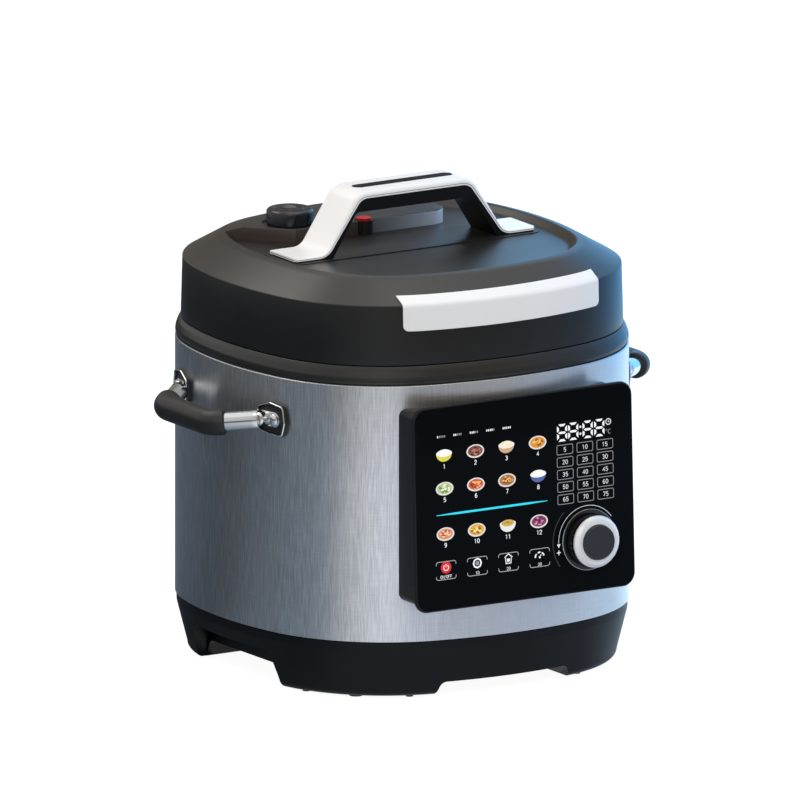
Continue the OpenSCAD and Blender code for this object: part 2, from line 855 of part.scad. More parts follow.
// White ring: its rim slopes in to a narrow flat face around the button
module dial_ring() {
    edge = 0.5;
    color("#f2f1ef") on_dial() rotate_extrude() polygon(concat(
        [[button_r + gap, barrel_top], [ring_r, barrel_top], [ring_r, barrel_top + 1.2]],
        [[ring_r - 0.3, barrel_top + 1.6], [ring_r - ring_bevel, ring_front]],
        arc([button_r + gap + edge, ring_front - edge], edge, 90, 180, 4)));
}

// Push button with a rounded edge and a slightly dished face
module dial_button() {
    edge = 1;
    back = cup_z + button_travel + gap;
    color("#2a2d33") on_dial() rotate_extrude() polygon(concat(
        [[0, back], [button_r, back]],
        arc([button_r - edge, button_front - edge], edge, 0, 90, 4),
        [[button_r - 2 * edge, button_front - dish_sink / 2], [0, button_front - dish_sink]]));
}

// ---------------------------------------------------------------- Side handles

bracket_w = 27;
bracket_h = 23;
bracket_t = 3;
pocket_d = 1.4;
bolt_r = 2;
bolt_l = 10;
plug_in = 3;
pocket_in = 1.6;
strap_h = 1.6;
corner_round = 3;
bolt_t = 3.2;
neck_t = -5.9;
neck_r = 4.4;
neck_h = 7.5;
lug_w = 10;
bar_bend = 14;
sleeve_tail = 4;
sleeve_edge = 1.5;
head_r = 4.2;
head_h = 2.6;
head_slot = 1;
bolt_tip = 6;
bracket_a = wall_turn(bracket_y);

// Frame of a bracket: Z out of the flank, Y along it away from the handle's middle, X up or down
module on_bracket(side, end) {
    x = wall_at(bracket_y);
    a = side > 0 ? end * bracket_a : 180 - end * bracket_a;
    translate([side * x, end * bracket_y, bracket_z]) rotate([0, 0, a]) rotate([0, 90, 0])
        mirror([0, side * end > 0 ? 0 : 1, 0]) children();
}

// Shield outline of a bracket, drawn in by inset: corners as shares of its height and width
module bracket_outline(inset) {
    corners = [
        [-0.30, -0.49], [0.36, -0.42], [0.45, -0.10], [0.48, 0.39], [0.07, 0.49], [-0.42, 0.42], [-0.5, -0.03]
    ];
    p = [for (c = corners) [c[0] * (bracket_h - 2 * inset), c[1] * (bracket_w - 2 * inset)]];
    polygon([for (i = [0:6]) each fillet(p[(i + 6) % 7], p[i], p[(i + 1) % 7], corner_round, 4)]);
}

module handle_brackets() {
    color("#2b2d30") difference() {
        for (s = [-1, 1]) for (e = [-1, 1]) on_bracket(s, e) difference() {
            translate([0, 0, -plug_in]) linear_extrude(plug_in + bracket_t) bracket_outline(0);
            translate([0, 0, bracket_t - pocket_d]) linear_extrude(bracket_t) bracket_outline(pocket_in);
            translate([0, bolt_t, -bolt_l]) cylinder(r = bolt_r + fit, h = 2 * bolt_l);
        }
        translate([0, 0, base_h]) linear_extrude(shell_h) polygon(plan(0));
    }
}

// Middle line of a handle in its own plane: X outwards from the brackets, Y along the body
bend_a = 90 - arm_splay;
bend_x = bar_reach - bar_bend * (1 - cos(bend_a));
bar_half = bracket_y - bar_bend * sin(bend_a) - bend_x * tan(arm_splay);
bend_y = bar_half + bar_bend * sin(bend_a);
arm_step = [cos(arm_splay), -sin(arm_splay)];
half_bend = arc([bar_reach - bar_bend, bar_half], bar_bend, 0, bend_a, 6);
function mirrored(path) = [for (i = [len(path) - 1:-1:0]) [path[i][0], -path[i][1]]];

module on_handle(side) {
    x = wall_at(bracket_y);
    mirror([side > 0 ? 0 : 1, 0, 0]) translate([x, 0, bracket_z]) rotate([0, handle_droop, 0]) children();
}

arm_gap = (bar_r + bracket_t + 0.2) / (cos(bracket_a) - tan(arm_splay) * sin(bracket_a));
module handle_bars() {
    start = [bend_x, bend_y] - arm_step * ((bend_x - arm_gap) / arm_step[0]);
    tip = [for (a = [80, 50, 20]) start - arm_step * bar_r * sin(a)];
    side = concat(half_bend, [start], [for (i = [2:-1:0]) tip[i]]);
    radii = concat([for (p = half_bend) bar_r], [bar_r], [for (a = [20, 50, 80]) bar_r * cos(a)]);
    flipped = [for (i = [len(radii) - 1:-1:0]) radii[i]];
    color("#d8dade") {
        for (s = [-1, 1]) on_handle(s) rod(concat(mirrored(side), side), concat(flipped, radii));
        for (s = [-1, 1]) for (e = [-1, 1]) on_bracket(s, e) {
            translate([0, neck_t, bracket_t - pocket_d]) cylinder(r = neck_r, h = neck_h, $fn = 32);
            difference() {
                translate([-lug_w / 2, neck_t - bolt_r, bracket_t - pocket_d])
                    cube([lug_w, bolt_t - neck_t + bolt_r + lug_w / 2, strap_h]);
                translate([0, bolt_t, 0]) cylinder(r = bolt_r + fit, h = bolt_l);
            }
        }
    }
}

module handle_sleeves() {
    tail = [bend_x, bend_y] - arm_step * sleeve_tail;
    side = concat(half_bend, [tail]);
    path = concat(mirrored(side), side);
    over = concat(half_bend, [tail - arm_step]);
    color("#1c1d1f") for (s = [-1, 1]) on_handle(s) difference() {
        rod(path, [for (i = [0:len(path) - 1]) i == 0 || i == len(path) - 1 ? sleeve_r - sleeve_edge : sleeve_r]);
        rod(concat(mirrored(over), over), [for (p = path) bar_r + fit]);
    }
}

// Screws with domed and slotted heads, through the straps into the body
module handle_screws() {
    z = bracket_t - pocket_d + strap_h;
    color("#dfe1e4") for (s = [-1, 1]) for (e = [-1, 1]) on_bracket(s, e) translate([0, bolt_t, 0]) {
        translate([0, 0, -bolt_tip]) cylinder(r = bolt_r, h = z + bolt_tip + 0.5);
        translate([0, 0, z]) difference() {
            rotate_extrude() polygon(concat(
                [[0, 0]], [for (a = [0:15:90]) [head_r * cos(a), head_h * sin(a)]]));
            rotate([0, 0, 35]) translate([-head_r, -head_slot / 2, head_h - head_slot])
                cube([2 * head_r, head_slot, head_slot + 1]);
        }
    }
}

// ---------------------------------------------------------------- Lid, inside

seal_in = pot_r - 4;
seal_out = rim_r - 0.8;

module sealing_ring() {
    z = pot_top + gap;
    color("#d9d6cf") rotate_extrude($fn = 96) polygon([
        [seal_in, z + 0.6], [seal_in + 1.2, z], [seal_out, z], [seal_out, z + 1.8], [seal_out - 1.4, z + 2.2],
        [seal_out, z + 2.6], [seal_out, z + seal_h], [seal_in + 0.6, z + seal_h], [seal_in, z + seal_h - 1]
    ]);
}

rack_wire = 1.2;
plate_room = 0.8;

module seal_rack() {
    r = seal_in - rack_wire - gap;
    color("#c3c6ca") {
        translate([0, 0, plate_z - rack_wire - seat_gap]) rotate_extrude($fn = 96)
            translate([r, 0]) circle(r = rack_wire, $fn = 24);
    }
}

// Inner lid: a shallow dome inside a flat rim that carries the lugs
dome_rise = 12;
dome_t = 1.6;
dome_r = seal_in - 6;
plate_r = tab_r - plate_room;
ball_r = (dome_r * dome_r + dome_rise * dome_rise) / (2 * dome_rise);
ball_z = plate_z + dome_rise - ball_r;
dome_a = asin(dome_r / ball_r);
function dome_line(t) = arc([0, ball_z], ball_r + t, 90, 90 - dome_a, 12);
function dome_z(r) = ball_z + sqrt(ball_r * ball_r - r * r);

module inner_lid() {
    line = dome_line(dome_t);
    profile = concat(
        dome_line(0), [[plate_r, plate_z], [plate_r, plate_z + lug_t]],
        [for (i = [len(line) - 1:-1:0]) line[i]]);
    color("#cfd2d6") difference() {
        union() {
            rotate_extrude($fn = 96) polygon(profile);
            for (i = [0:lug_count - 1]) rotate([0, 0, lug_pitch * i - lug_angle / 2])
                rotate_extrude(angle = lug_angle, $fn = 96)
                    translate([plate_r - 1, plate_z]) square([lug_r - plate_r + 1, lug_t]);
        }
        translate([-valve_x, valve_y, 0]) cylinder(r = tube_r + fit, h = body_w);
        translate([-float_x, float_y, 0]) cylinder(r = pin_r + 0.5, h = body_w);
        cylinder(r = bolt_core + fit, h = body_w);
    }
}

tube_r = 4;
bore_r = 1.5;
nut_r = 7;
nut_h = 2;
shield_r = 13;
shield_t = 1;
shield_h = 11;
shield_holes = 8;
shield_z = dome_z(norm([valve_x, valve_y])) - shield_h;

// Perforated cup under the steam valve, with its rim against the dome
module steam_shield() {
    color("#b9bcc0") intersection() {
        translate([-valve_x, valve_y, shield_z]) difference() {
            cylinder(r = shield_r, h = 2 * shield_h);
            translate([0, 0, shield_t]) cylinder(r = shield_r - shield_t, h = 2 * shield_h);
            around(shield_holes, (shield_r + tube_r) / 2) translate([0, 0, -1]) cylinder(r = 1.6, h = 4, $fn = 24);
            translate([0, 0, -1]) cylinder(r = tube_r + fit, h = 4);
        }
        translate([0, 0, -seat_gap]) rotate_extrude($fn = 96)
            polygon(concat(dome_line(0), [[dome_r, shield_z - shield_h], [0, shield_z - shield_h]]));
    }
}

// ---------------------------------------------------------------- Lid, outside

boss_r = 5;
boss_ring = plate_r - 7;
bolt_core = 2.5;
bolt_head_r = 7;
bolt_head_h = 3.2;
bolt_reach = 16;
dome_top = plate_z + dome_rise + dome_t;
float_x = 6;
float_y = platform_y + 2;
pin_r = 1.8;
flat_h = 0.5;
knob_room = 3;
knob_sink = 1.4;
platform_x = -6.5;
platform_round = 12;

// Plan of the raised platform behind the handle: slanted at its left end, round at its right end
module platform_plan(inset) {
    left = platform_x - platform_w / 2;
    right = platform_x + platform_w / 2;
    y = platform_y + inset;
    intersection() {
        polygon(plan(crest_in + 0.6 + inset));
        polygon(concat(
            [[left - half_w + inset, y + 1.1 * half_w], [left + inset / 2, y]],
            arc([right, platform_y + platform_round], platform_round - inset, 270, 360, 6),
            [[right + platform_round - inset, y + 1.1 * half_w]]));
    }
}

// Plan of the low flat that carries the handle
module handle_flat() {
    polygon(rounded(handle_l + 6, handle_w + 8, 7));
}

// Pocket under each end of the handle
module handle_pockets() {
    inner = leg_x(band_t + leg_t, seat_d + flat_h) - fit;
    w = handle_w - 2 * core_in + 2 * fit;
    for (s = [0, 180]) rotate([0, 0, s]) translate([inner, -w / 2, seat_z])
        cube([handle_l / 2 + fit - inner, w, seat_d + flat_h + 1]);
}

function crown(inset) = edge_z + (crest_z - edge_z) * (inset - edge_in) / crown_w;

module lid_cover() {
    round_r = 3;
    outside = [
        [skirt_in, skirt_z], [edge_in, edge_z - round_r], [edge_in + 0.6, edge_z - 0.9],
        [edge_in + 2.4, edge_z + 0.9], [crest_in - 2.5, crest_z - 1.1], [crest_in, crest_z],
        [crest_in + 1.6, crest_z - 0.4], [dish_in - 2, dish_z + 0.5], [dish_in, dish_z]
    ];
    inside = [
        [dish_in, ceiling_z], [edge_in + lid_wall + 2, edge_z - lid_wall - 0.6],
        [skirt_in + lid_wall, skirt_z]
    ];
    color("#232427") difference() {
        union() {
            loft(concat(inside, outside));
            translate([0, 0, ceiling_z - 0.5]) linear_extrude(platform_z - ceiling_z + 0.5) platform_plan(0);
            translate([0, 0, ceiling_z + 1]) linear_extrude(dish_z + flat_h - ceiling_z - 1) handle_flat();
            around(4, boss_ring, 45) translate([0, 0, lug_top])
                cylinder(r = boss_r, h = ceiling_z - lug_top + 0.5);
            translate([0, 0, dome_top]) cylinder(r = 2 * boss_r, h = ceiling_z - dome_top + 0.5);
        }
        translate([0, 0, ceiling_z - 1]) linear_extrude(platform_z - lid_wall - ceiling_z + 1) difference() {
            platform_plan(lid_wall);
            around(4, boss_ring, 45) circle(r = boss_r + 1);
        }
        handle_pockets();
        translate([-valve_x, valve_y, ceiling_z]) cylinder(r = tube_r + fit, h = body_w);
        translate([-valve_x, valve_y, platform_z - knob_sink]) cylinder(r = knob_r + knob_room, h = body_w);
        translate([-float_x, float_y, ceiling_z - float_tail]) cylinder(r = float_r + fit, h = body_w);
        translate([0, 0, dome_top - 1]) cylinder(r = bolt_core + fit, h = bolt_reach + 2);
        at_corners(grip_screw_x, grip_screw_y) translate([0, 0, ceiling_z - 1])
            cylinder(r = screw_r + fit, h = lid_wall + 2);
    }
}

// Bolt that holds the inner lid up against the middle boss
module lid_bolt() {
    color("#9a9ca0") translate([0, 0, dome_z(bolt_head_r) - seat_gap])
        screw(bolt_core, bolt_reach, bolt_head_r, bolt_head_h);
}

// Station of the lid's outside, moved out by t
function trim_face(p, t) = [p[0] - t, p[1] + (p[0] > edge_in + 0.3 ? t : 0)];

trim_round = 4;

module lid_trim() {
    skirt_low = edge_z - trim_drop;
    low_in = skirt_in + skirt_draft * (skirt_low - skirt_z) / skirt_h;
    lap_in = edge_in + trim_lap;
    face = [[low_in, skirt_low], [edge_in, edge_z - 3], [edge_in + 0.6, edge_z - 0.9],
        [edge_in + 2.4, edge_z + 0.9], [lap_in, crown(lap_in) + 0.2]];
    back = [for (i = [len(face) - 1:-1:0]) trim_face(face[i], seat_gap)];
    front = [for (p = face) trim_face(p, trim_t)];
    color("#f1f0ed") intersection() {
        hoop(concat(front, back));
        translate([0, -half_w / 2, 0]) rotate([90, 0, 0]) linear_extrude(half_w)
            translate([0, skirt_low + skirt_h / 2]) polygon(rounded(trim_w, skirt_h, trim_round));
    }
}

// ---------------------------------------------------------------- Lid handle

handle_l = 2 * (half_w - dish_in - handle_room);
leg_foot = handle_l / 2 - handle_pad;
pad_top = 3.4 + seat_d;
leg_a = atan2(handle_rise - pad_top, leg_foot - grip_l / 2);
bend_out = 14;
bend_in = 10;
crook_r = 5;
pad_r_end = 3;
core_in = 0.6;
lip_wall = 1.8;
lip_end = leg_foot - 3;
inlay_d = 1.2;
inlay_t = 0.8;
grip_screw_x = leg_foot - 2;
grip_screw_y = 9;

// Place along the handle where the leg's face, drawn in by t, is at height z
function leg_x(t, z) = grip_l / 2 + (handle_rise - z) / tan(leg_a) - t / sin(leg_a);

// Right half of the handle's side view, from its middle outwards: drawn in by t0 along the grip,
// and by t1 at the pad
function grip_line(t0, t1) =
    let (top = handle_rise - t0, low = pad_top - t1, a = [leg_x(t0, top), top], b = [leg_x(t1, low), low])
    concat(
        fillet([0, top], a, b, bend_out - t0),
        fillet(a, b, [handle_l / 2, low], bend_in + t1));

function flip(path) = [for (i = [len(path) - 1:-1:0]) [-path[i][0], path[i][1]]];

// Solid between an upper and a lower line of the side view, within a rounded plan
module grip_between(upper, lower, w, r) {
    under = [for (i = [len(lower) - 1:-1:0]) lower[i]];
    loop = concat(flip(upper), upper, under, [for (p = lower) [-p[0], p[1]]]);
    translate([0, 0, seat_z]) intersection() {
        rotate([90, 0, 0]) linear_extrude(w, center = true) polygon(loop);
        linear_extrude(2 * handle_rise) polygon(rounded(handle_l, w, r));
    }
}

// Black inside of the handle: a deep grip, slim legs and thin feet, with a rib that fills the band
module grip_core() {
    t = band_t + leg_t;
    low = handle_rise - band_t - grip_t;
    end = handle_l / 2;
    upper = concat(grip_line(lip_t, band_t), [[end, pad_top - band_t]]);
    lower = concat(fillet([0, low], [leg_x(t, low), low], [leg_x(t, 0), 0], crook_r, 4), [[leg_x(t, 0), 0], [end, 0]]);
    rib_w = handle_w - 2 * lip_wall - 2 * fit;
    color("#17181a") difference() {
        union() {
            grip_between(upper, lower, handle_w - 2 * core_in, pad_r_end);
            intersection() {
                grip_between(grip_line(band_t, band_t), grip_line(lip_t + 1, band_t + 1), rib_w, pad_r_end - lip_wall);
                translate([-lip_end + fit, -rib_w, seat_z]) cube([2 * (lip_end - fit), 2 * rib_w, 2 * handle_rise]);
            }
        }
        at_corners(grip_screw_x, grip_screw_y) translate([0, 0, seat_z - 1]) cylinder(r = screw_r + fit, h = 2.5);
    }
}

// White band over the handle, with side lips that are deep along the grip and run out at the pads
module grip_band() {
    end = handle_l / 2;
    upper = concat(grip_line(0, 0), [[end, pad_top]]);
    lower = concat(grip_line(lip_t, band_t), [[end, pad_top - band_t]]);
    trough_w = handle_w - 2 * lip_wall;
    color("#f0efec") difference() {
        grip_between(upper, lower, handle_w, pad_r_end);
        intersection() {
            grip_between(grip_line(band_t, band_t), [[0, 0], [end, 0]], trough_w, pad_r_end - lip_wall);
            translate([-lip_end, -trough_w, seat_z]) cube([2 * lip_end, 2 * trough_w, 2 * handle_rise]);
        }
        translate([0, 0, seat_z + handle_rise - inlay_d]) linear_extrude(2 * inlay_d)
            polygon(rounded(inlay_l, inlay_w, inlay_w / 2 - fit));
    }
}

module grip_inlay() {
    color("#2a1f1a") translate([0, 0, seat_z + handle_rise - inlay_d]) linear_extrude(inlay_t)
        polygon(rounded(inlay_l - 2 * fit, inlay_w - 2 * fit, inlay_w / 2 - 2 * fit));
}

module grip_screws() {
    color("#9a9ca0") at_corners(grip_screw_x, grip_screw_y) translate([0, 0, ceiling_z])
        screw(screw_r, seat_z - ceiling_z + 1.3, screw_head_r, screw_head_h);
}

// ---------------------------------------------------------------- Valves

stem_up = 6;
knob_edge = 2;
cap_r = 9.5;
cap_up = 0.5;
button_up = 0.8;

module valve_stem() {
    color("#b5b8bc") translate([-valve_x, valve_y, shield_z - nut_h]) difference() {
        union() {
            cylinder(r = tube_r, h = platform_z + stem_up - shield_z + nut_h);
            cylinder(r = nut_r, h = nut_h, $fn = 6);
        }
        translate([0, 0, -1]) cylinder(r = bore_r, h = body_w);
    }
}

// Knob with a rounded edge, a low cap on top, and two curved slots around the cap's middle
module valve_knob() {
    z = platform_z - knob_sink + gap;
    top = platform_z + knob_h;
    color("#3a4049") translate([-valve_x, valve_y, 0]) difference() {
        rotate_extrude() polygon(concat(
            [[0, z], [knob_r - 0.6, z], [knob_r, z + 1]],
            arc([knob_r - knob_edge, top - knob_edge], knob_edge, 0, 80, 4),
            [[cap_r + 0.4, top + 0.1], [cap_r, top + cap_up], [0, top + cap_up]]));
        translate([0, 0, z - 1]) cylinder(r = tube_r + running, h = platform_z + stem_up + 0.5 - z + 1);
        for (a = [140, 320]) rotate([0, 0, a]) translate([0, 0, top + cap_up - button_up])
            rotate_extrude(angle = 90) translate([cap_r - 4, 0]) square([2.4, 2 * button_up]);
    }
}

float_tail = 5;
float_wall = 0.7;

module float_housing() {
    z = ceiling_z - float_tail;
    color("#141414") translate([-float_x, float_y, z]) difference() {
        cylinder(r = float_r, h = platform_z - z);
        translate([0, 0, -1]) cylinder(r = pin_r + running, h = body_w);
        translate([0, 0, platform_z - z - float_travel]) cylinder(r = float_r - float_wall, h = body_w);
    }
}

float_up = 1.2;
foot_r = 3;
foot_t = 2.5;

// Float: a red cap in the housing, and a stem with a foot below the inner lid
module float_pin() {
    low = dome_z(norm([float_x, float_y])) - float_travel - gap - 4;
    color("#c3161c") translate([-float_x, float_y, 0]) {
        translate([0, 0, platform_z - float_travel + gap])
            cylinder(r = float_r - float_wall - gap, h = float_travel + float_up);
        translate([0, 0, low]) cylinder(r = pin_r, h = platform_z - float_travel + 1 - low);
        translate([0, 0, low]) cylinder(r = foot_r, h = foot_t);
    }
}

// The frame's origin is under the middle of the whole object, so the body stands a little behind it
front_y = panel_y + (button_front - 1) * cos(panel_tilt) + (dial_drop + button_r - 1) * sin(panel_tilt) + 1;
frame_y = (front_y - half_w) / 2;
module placed() {
    translate([0, frame_y, 0]) children();
}

placed() base_housing();
placed() foot_pads();
placed() bottom_cover();
placed() cover_screws();
placed() outer_shell();
placed() top_collar();
placed() pressure_pot();
placed() lock_ring();
placed() inner_pot();
placed() heating_plate();
placed() probe_bracket();
placed() probe_spring();
placed() temperature_probe();
placed() power_board();
placed() power_inlet();
placed() panel_housing();
placed() front_plate();
placed() display_board();
placed() dial_encoder();
placed() dial_foot();
placed() dial_barrel();
placed() dial_ring();
placed() dial_button();
placed() handle_brackets();
placed() handle_bars();
placed() handle_sleeves();
placed() handle_screws();
placed() sealing_ring();
placed() seal_rack();
placed() inner_lid();
placed() steam_shield();
placed() lid_cover();
placed() lid_bolt();
placed() lid_trim();
placed() grip_core();
placed() grip_band();
placed() grip_inlay();
placed() grip_screws();
placed() valve_stem();
placed() valve_knob();
placed() float_housing();
placed() float_pin();
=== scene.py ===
"""Electric pressure cooker: finishes, moulded shells, print and light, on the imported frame."""

import json

import bmesh
import bpy
import numpy as np
from mathutils import Matrix, Vector


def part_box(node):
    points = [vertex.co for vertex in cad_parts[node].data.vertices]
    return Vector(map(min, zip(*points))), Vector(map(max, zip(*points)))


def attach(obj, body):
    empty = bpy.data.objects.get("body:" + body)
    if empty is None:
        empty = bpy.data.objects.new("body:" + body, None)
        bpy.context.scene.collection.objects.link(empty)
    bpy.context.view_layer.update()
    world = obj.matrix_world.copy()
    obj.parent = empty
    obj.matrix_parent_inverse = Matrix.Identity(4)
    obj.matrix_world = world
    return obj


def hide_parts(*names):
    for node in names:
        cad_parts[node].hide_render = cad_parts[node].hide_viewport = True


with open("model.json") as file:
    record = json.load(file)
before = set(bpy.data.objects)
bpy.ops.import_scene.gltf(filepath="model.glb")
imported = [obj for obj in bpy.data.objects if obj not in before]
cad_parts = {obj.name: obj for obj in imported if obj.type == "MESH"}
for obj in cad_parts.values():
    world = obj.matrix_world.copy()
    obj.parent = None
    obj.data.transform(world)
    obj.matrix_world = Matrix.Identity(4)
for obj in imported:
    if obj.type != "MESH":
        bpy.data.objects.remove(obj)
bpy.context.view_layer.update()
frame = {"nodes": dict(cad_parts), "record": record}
nodes = frame["nodes"]
MM = 0.001


def cad(node):
    """Lowest and highest corner of a CAD node, in millimetres, as two arrays."""
    lo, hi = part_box(node)
    return np.array(lo) / MM, np.array(hi) / MM


# ---------------------------------------------------------------- Sizes, in millimetres, from the frame

shell_lo, shell_hi = cad("outer_shell")
AXIS_Y = (shell_lo[1] + shell_hi[1]) / 2
HALF_W = (shell_hi[0] - shell_lo[0]) / 2
BASE_Z, RIM_Z = shell_lo[2], shell_hi[2]
DECK_Z = cad("top_collar")[1][2]
# Plan of the body: flat flank arcs and tight corner arcs. FLANK_C and CORNER_C put their centres
# where the two share a tangent, at the angle FLANK_A from the flank's middle and FLANK_END across
FLANK_R, CORNER_R = 252.4, 100.8
FLANK_C = HALF_W - FLANK_R
SPAN = FLANK_R - CORNER_R
CORNER_C = (np.sqrt(8 * SPAN**2 - 4 * FLANK_C**2) + 2 * FLANK_C) / 4
FLANK_A = np.arctan2(CORNER_C, CORNER_C - FLANK_C)
FLANK_END = FLANK_R * np.sin(FLANK_A)
# Directions of the plan's normal at which a moulding has its points
AROUND = np.radians(np.arange(360) + 0.5)


# ---------------------------------------------------------------- Making meshes

def turn(points, angle):
    """Points turned about Z by an angle in radians."""
    c, s = np.cos(angle), np.sin(angle)
    x, y = points[..., 0] * c - points[..., 1] * s, points[..., 0] * s + points[..., 1] * c
    return np.concatenate([x[..., None], y[..., None], points[..., 2:]], -1)


def plan(angle, inset):
    """Rounded-square plan of the body. The point whose outward normal has this angle, drawn in by
    inset, is an arc centre plus (radius - inset) along that normal. Each quarter has a flat flank
    arc and a tighter corner arc, which share a tangent where they meet."""
    angle, inset = np.broadcast_arrays(np.asarray(angle, float), np.asarray(inset, float))
    quarter = np.floor(angle / (np.pi / 2) + 0.5) * np.pi / 2
    local = angle - quarter
    flank = np.abs(local) <= FLANK_A
    r = np.where(flank, FLANK_R, CORNER_R) - inset
    x = np.where(flank, FLANK_C, CORNER_C) + r * np.cos(local)
    y = np.where(flank, 0, np.sign(local) * CORNER_C) + r * np.sin(local)
    return turn(np.stack([x, y], -1), quarter) + [0, AXIS_Y]


# Half of a corner's angle from which it counts as straight and stays as it is, in radians
STRAIGHT = 1.565


def fillet(points, radii, steps=6):
    """Polyline with its inner corners rounded: each corner gives way to an arc that touches both
    of its sides, at radius / tan(half the corner's angle) from it."""
    points = np.asarray(points, float)
    out = [points[:1]]
    for a, b, c, r in zip(points[:-2], points[1:-1], points[2:], radii):
        u, v = (a - b) / np.linalg.norm(a - b), (c - b) / np.linalg.norm(c - b)
        half = np.arccos(np.clip(u @ v, -1, 1)) / 2
        if r <= 0 or half > STRAIGHT:
            out.append(b[None])
            continue
        centre = b + (u + v) / np.linalg.norm(u + v) * r / np.sin(half)
        start, end = b + u * r / np.tan(half) - centre, b + v * r / np.tan(half) - centre
        t = np.linspace(0, 1, steps + 1)[:, None]
        sweep = np.pi - 2 * half
        arc = (np.sin((1 - t) * sweep) * start + np.sin(t * sweep) * end) / np.sin(sweep)
        out.append(centre + arc)
    out.append(points[-1:])
    return np.concatenate(out)


def ring_fillet(points, radii, steps=6):
    """Closed outline with every corner rounded, as fillet() does."""
    points = np.asarray(points, float)
    radii = np.broadcast_to(radii, len(points))
    wrapped = np.concatenate([points[-1:], points, points[:1]])
    return fillet(wrapped, radii, steps)[1:-1]


def rounded(w, h, r, steps=8):
    """Rectangle with round corners, centred, as a closed outline."""
    return ring_fillet([[w / 2, -h / 2], [w / 2, h / 2], [-w / 2, h / 2], [-w / 2, -h / 2]], r, steps)


def lifted(outline, z):
    """Flat outline put at a height."""
    return np.column_stack([outline, np.full(len(outline), z)])


def shown(name, data):
    """Object at the origin in the scene, from a mesh, a camera's or a lamp's data."""
    obj = bpy.data.objects.new(name, data)
    bpy.context.scene.collection.objects.link(obj)
    return obj


def link(name, verts, faces, material, body, sharp=35, closed=False):
    """Object at the origin from points and faces, smooth up to an angle. A closed piece gets its
    faces turned outwards."""
    mesh = bpy.data.meshes.new(name)
    mesh.from_pydata((np.asarray(verts) * MM).tolist(), [], faces)
    if closed:
        shape = bmesh.new()
        shape.from_mesh(mesh)
        bmesh.ops.recalc_face_normals(shape, faces=shape.faces)
        shape.to_mesh(mesh)
        shape.free()
    mesh.polygons.foreach_set("use_smooth", np.ones(len(mesh.polygons), bool))
    mesh.set_sharp_from_angle(angle=np.radians(sharp))
    mesh.materials.append(material)
    obj = shown(name, mesh)
    if body:
        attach(obj, body)
    return obj


def quads(rows, cols, close_rows=False, close_cols=True):
    """Faces of a grid of points with rows x cols places, wrapped where asked."""
    j = np.arange(rows if close_rows else rows - 1)[:, None]
    i = np.arange(cols if close_cols else cols - 1)[None]
    k, n = (j + 1) % rows, (i + 1) % cols
    faces = np.stack([j * cols + i, j * cols + n, k * cols + n, k * cols + i], -1)
    return faces.reshape(-1, 4)


def skin(name, grids, material, body, caps=(False, False), close_rows=False, close_cols=True, sharp=35):
    """Surface through one or more grids of points, grid[row, column]; a cap closes the first or
    last row. Where nothing is left open, the faces are turned outwards."""
    verts, faces, start = [], [], 0
    for grid in grids if isinstance(grids, list) else [grids]:
        rows, cols = grid.shape[:2]
        places = start + np.arange(rows * cols).reshape(rows, cols)
        faces += (start + quads(rows, cols, close_rows, close_cols)).tolist()
        if caps[0]:
            faces.append(places[0, ::-1].tolist())
        if caps[1]:
            faces.append(places[-1].tolist())
        verts.append(grid.reshape(-1, 3))
        start += rows * cols
    closed = close_cols and (close_rows or all(caps))
    return link(name, np.concatenate(verts), faces, material, body, sharp, closed)


def rings(stations):
    """Grid of the rounded-square plan: each [inset, z] station is one ring of it."""
    stations = np.asarray(stations, float)
    flat = plan(AROUND[None], stations[:, :1])
    height = np.broadcast_to(stations[:, 1:], flat.shape[:2])[..., None]
    return np.concatenate([flat, height], -1)


def loft(name, stations, material, body, caps=(False, False), close_rows=False, sharp=35):
    """Piece of the rounded-square plan, through one ring for each [inset, z] station."""
    return skin(name, rings(stations), material, body, caps, close_rows, sharp=sharp)


def turned(profile, frame_of, steps=96, first=0.0):
    """Grid of a turned piece: [radius, height] points carried round the Z of a frame, from a first
    angle in radians."""
    profile = np.asarray(profile, float)
    a = first + np.linspace(0, 2 * np.pi, steps, endpoint=False)
    x = profile[:, :1] * np.cos(a)
    y = profile[:, :1] * np.sin(a)
    z = np.broadcast_to(profile[:, 1:], x.shape)
    return frame_of(np.stack([x, y, z], -1))


def tube(path, radii, sides=40):
    """Grid of a round rod along a path in space: a circle of each radius, square to the path,
    carried without twist by projecting one start direction at every point."""
    path = np.asarray(path, float)
    t = np.gradient(path, axis=0)
    t /= np.linalg.norm(t, axis=1)[:, None]
    up = np.array([0.0, 0, 1])
    n = np.cross(up, t)
    n /= np.linalg.norm(n, axis=1)[:, None]
    b = np.cross(t, n)
    a = np.linspace(0, 2 * np.pi, sides, endpoint=False)[None, :, None]
    r = np.asarray(radii, float)[:, None, None]
    return path[:, None] + r * (np.cos(a) * n[:, None] + np.sin(a) * b[:, None])


def prism(name, outline, depth, place, material, body, edge=0.0, steps=3, back_edge=0.0, sharp=35):
    """Plate with the given closed outline, from its face at 0 back to depth, with rounded edges.
    A rounded edge is a quarter circle that draws the outline in towards the face."""
    outline = np.asarray(outline, float)
    a = np.linspace(0, np.pi / 2, steps + 1)
    rows = []
    if back_edge:
        rows += [(back_edge * (1 - np.cos(t)), depth - back_edge * (1 - np.sin(t))) for t in a[::-1]]
    else:
        rows.append((0.0, depth))
    if edge:
        rows += [(edge * (1 - np.cos(t)), edge * (1 - np.sin(t))) for t in a]
    else:
        rows.append((0.0, 0.0))
    centre = (outline.max(0) + outline.min(0)) / 2
    half = (outline.max(0) - outline.min(0)) / 2
    grid = []
    for inset, d in rows:
        shrunk = centre + (outline - centre) * (1 - inset / half)
        grid.append(lifted(shrunk, -d))
    grid = place(np.array(grid))
    return skin(name, grid, material, body, (True, True), sharp=sharp)


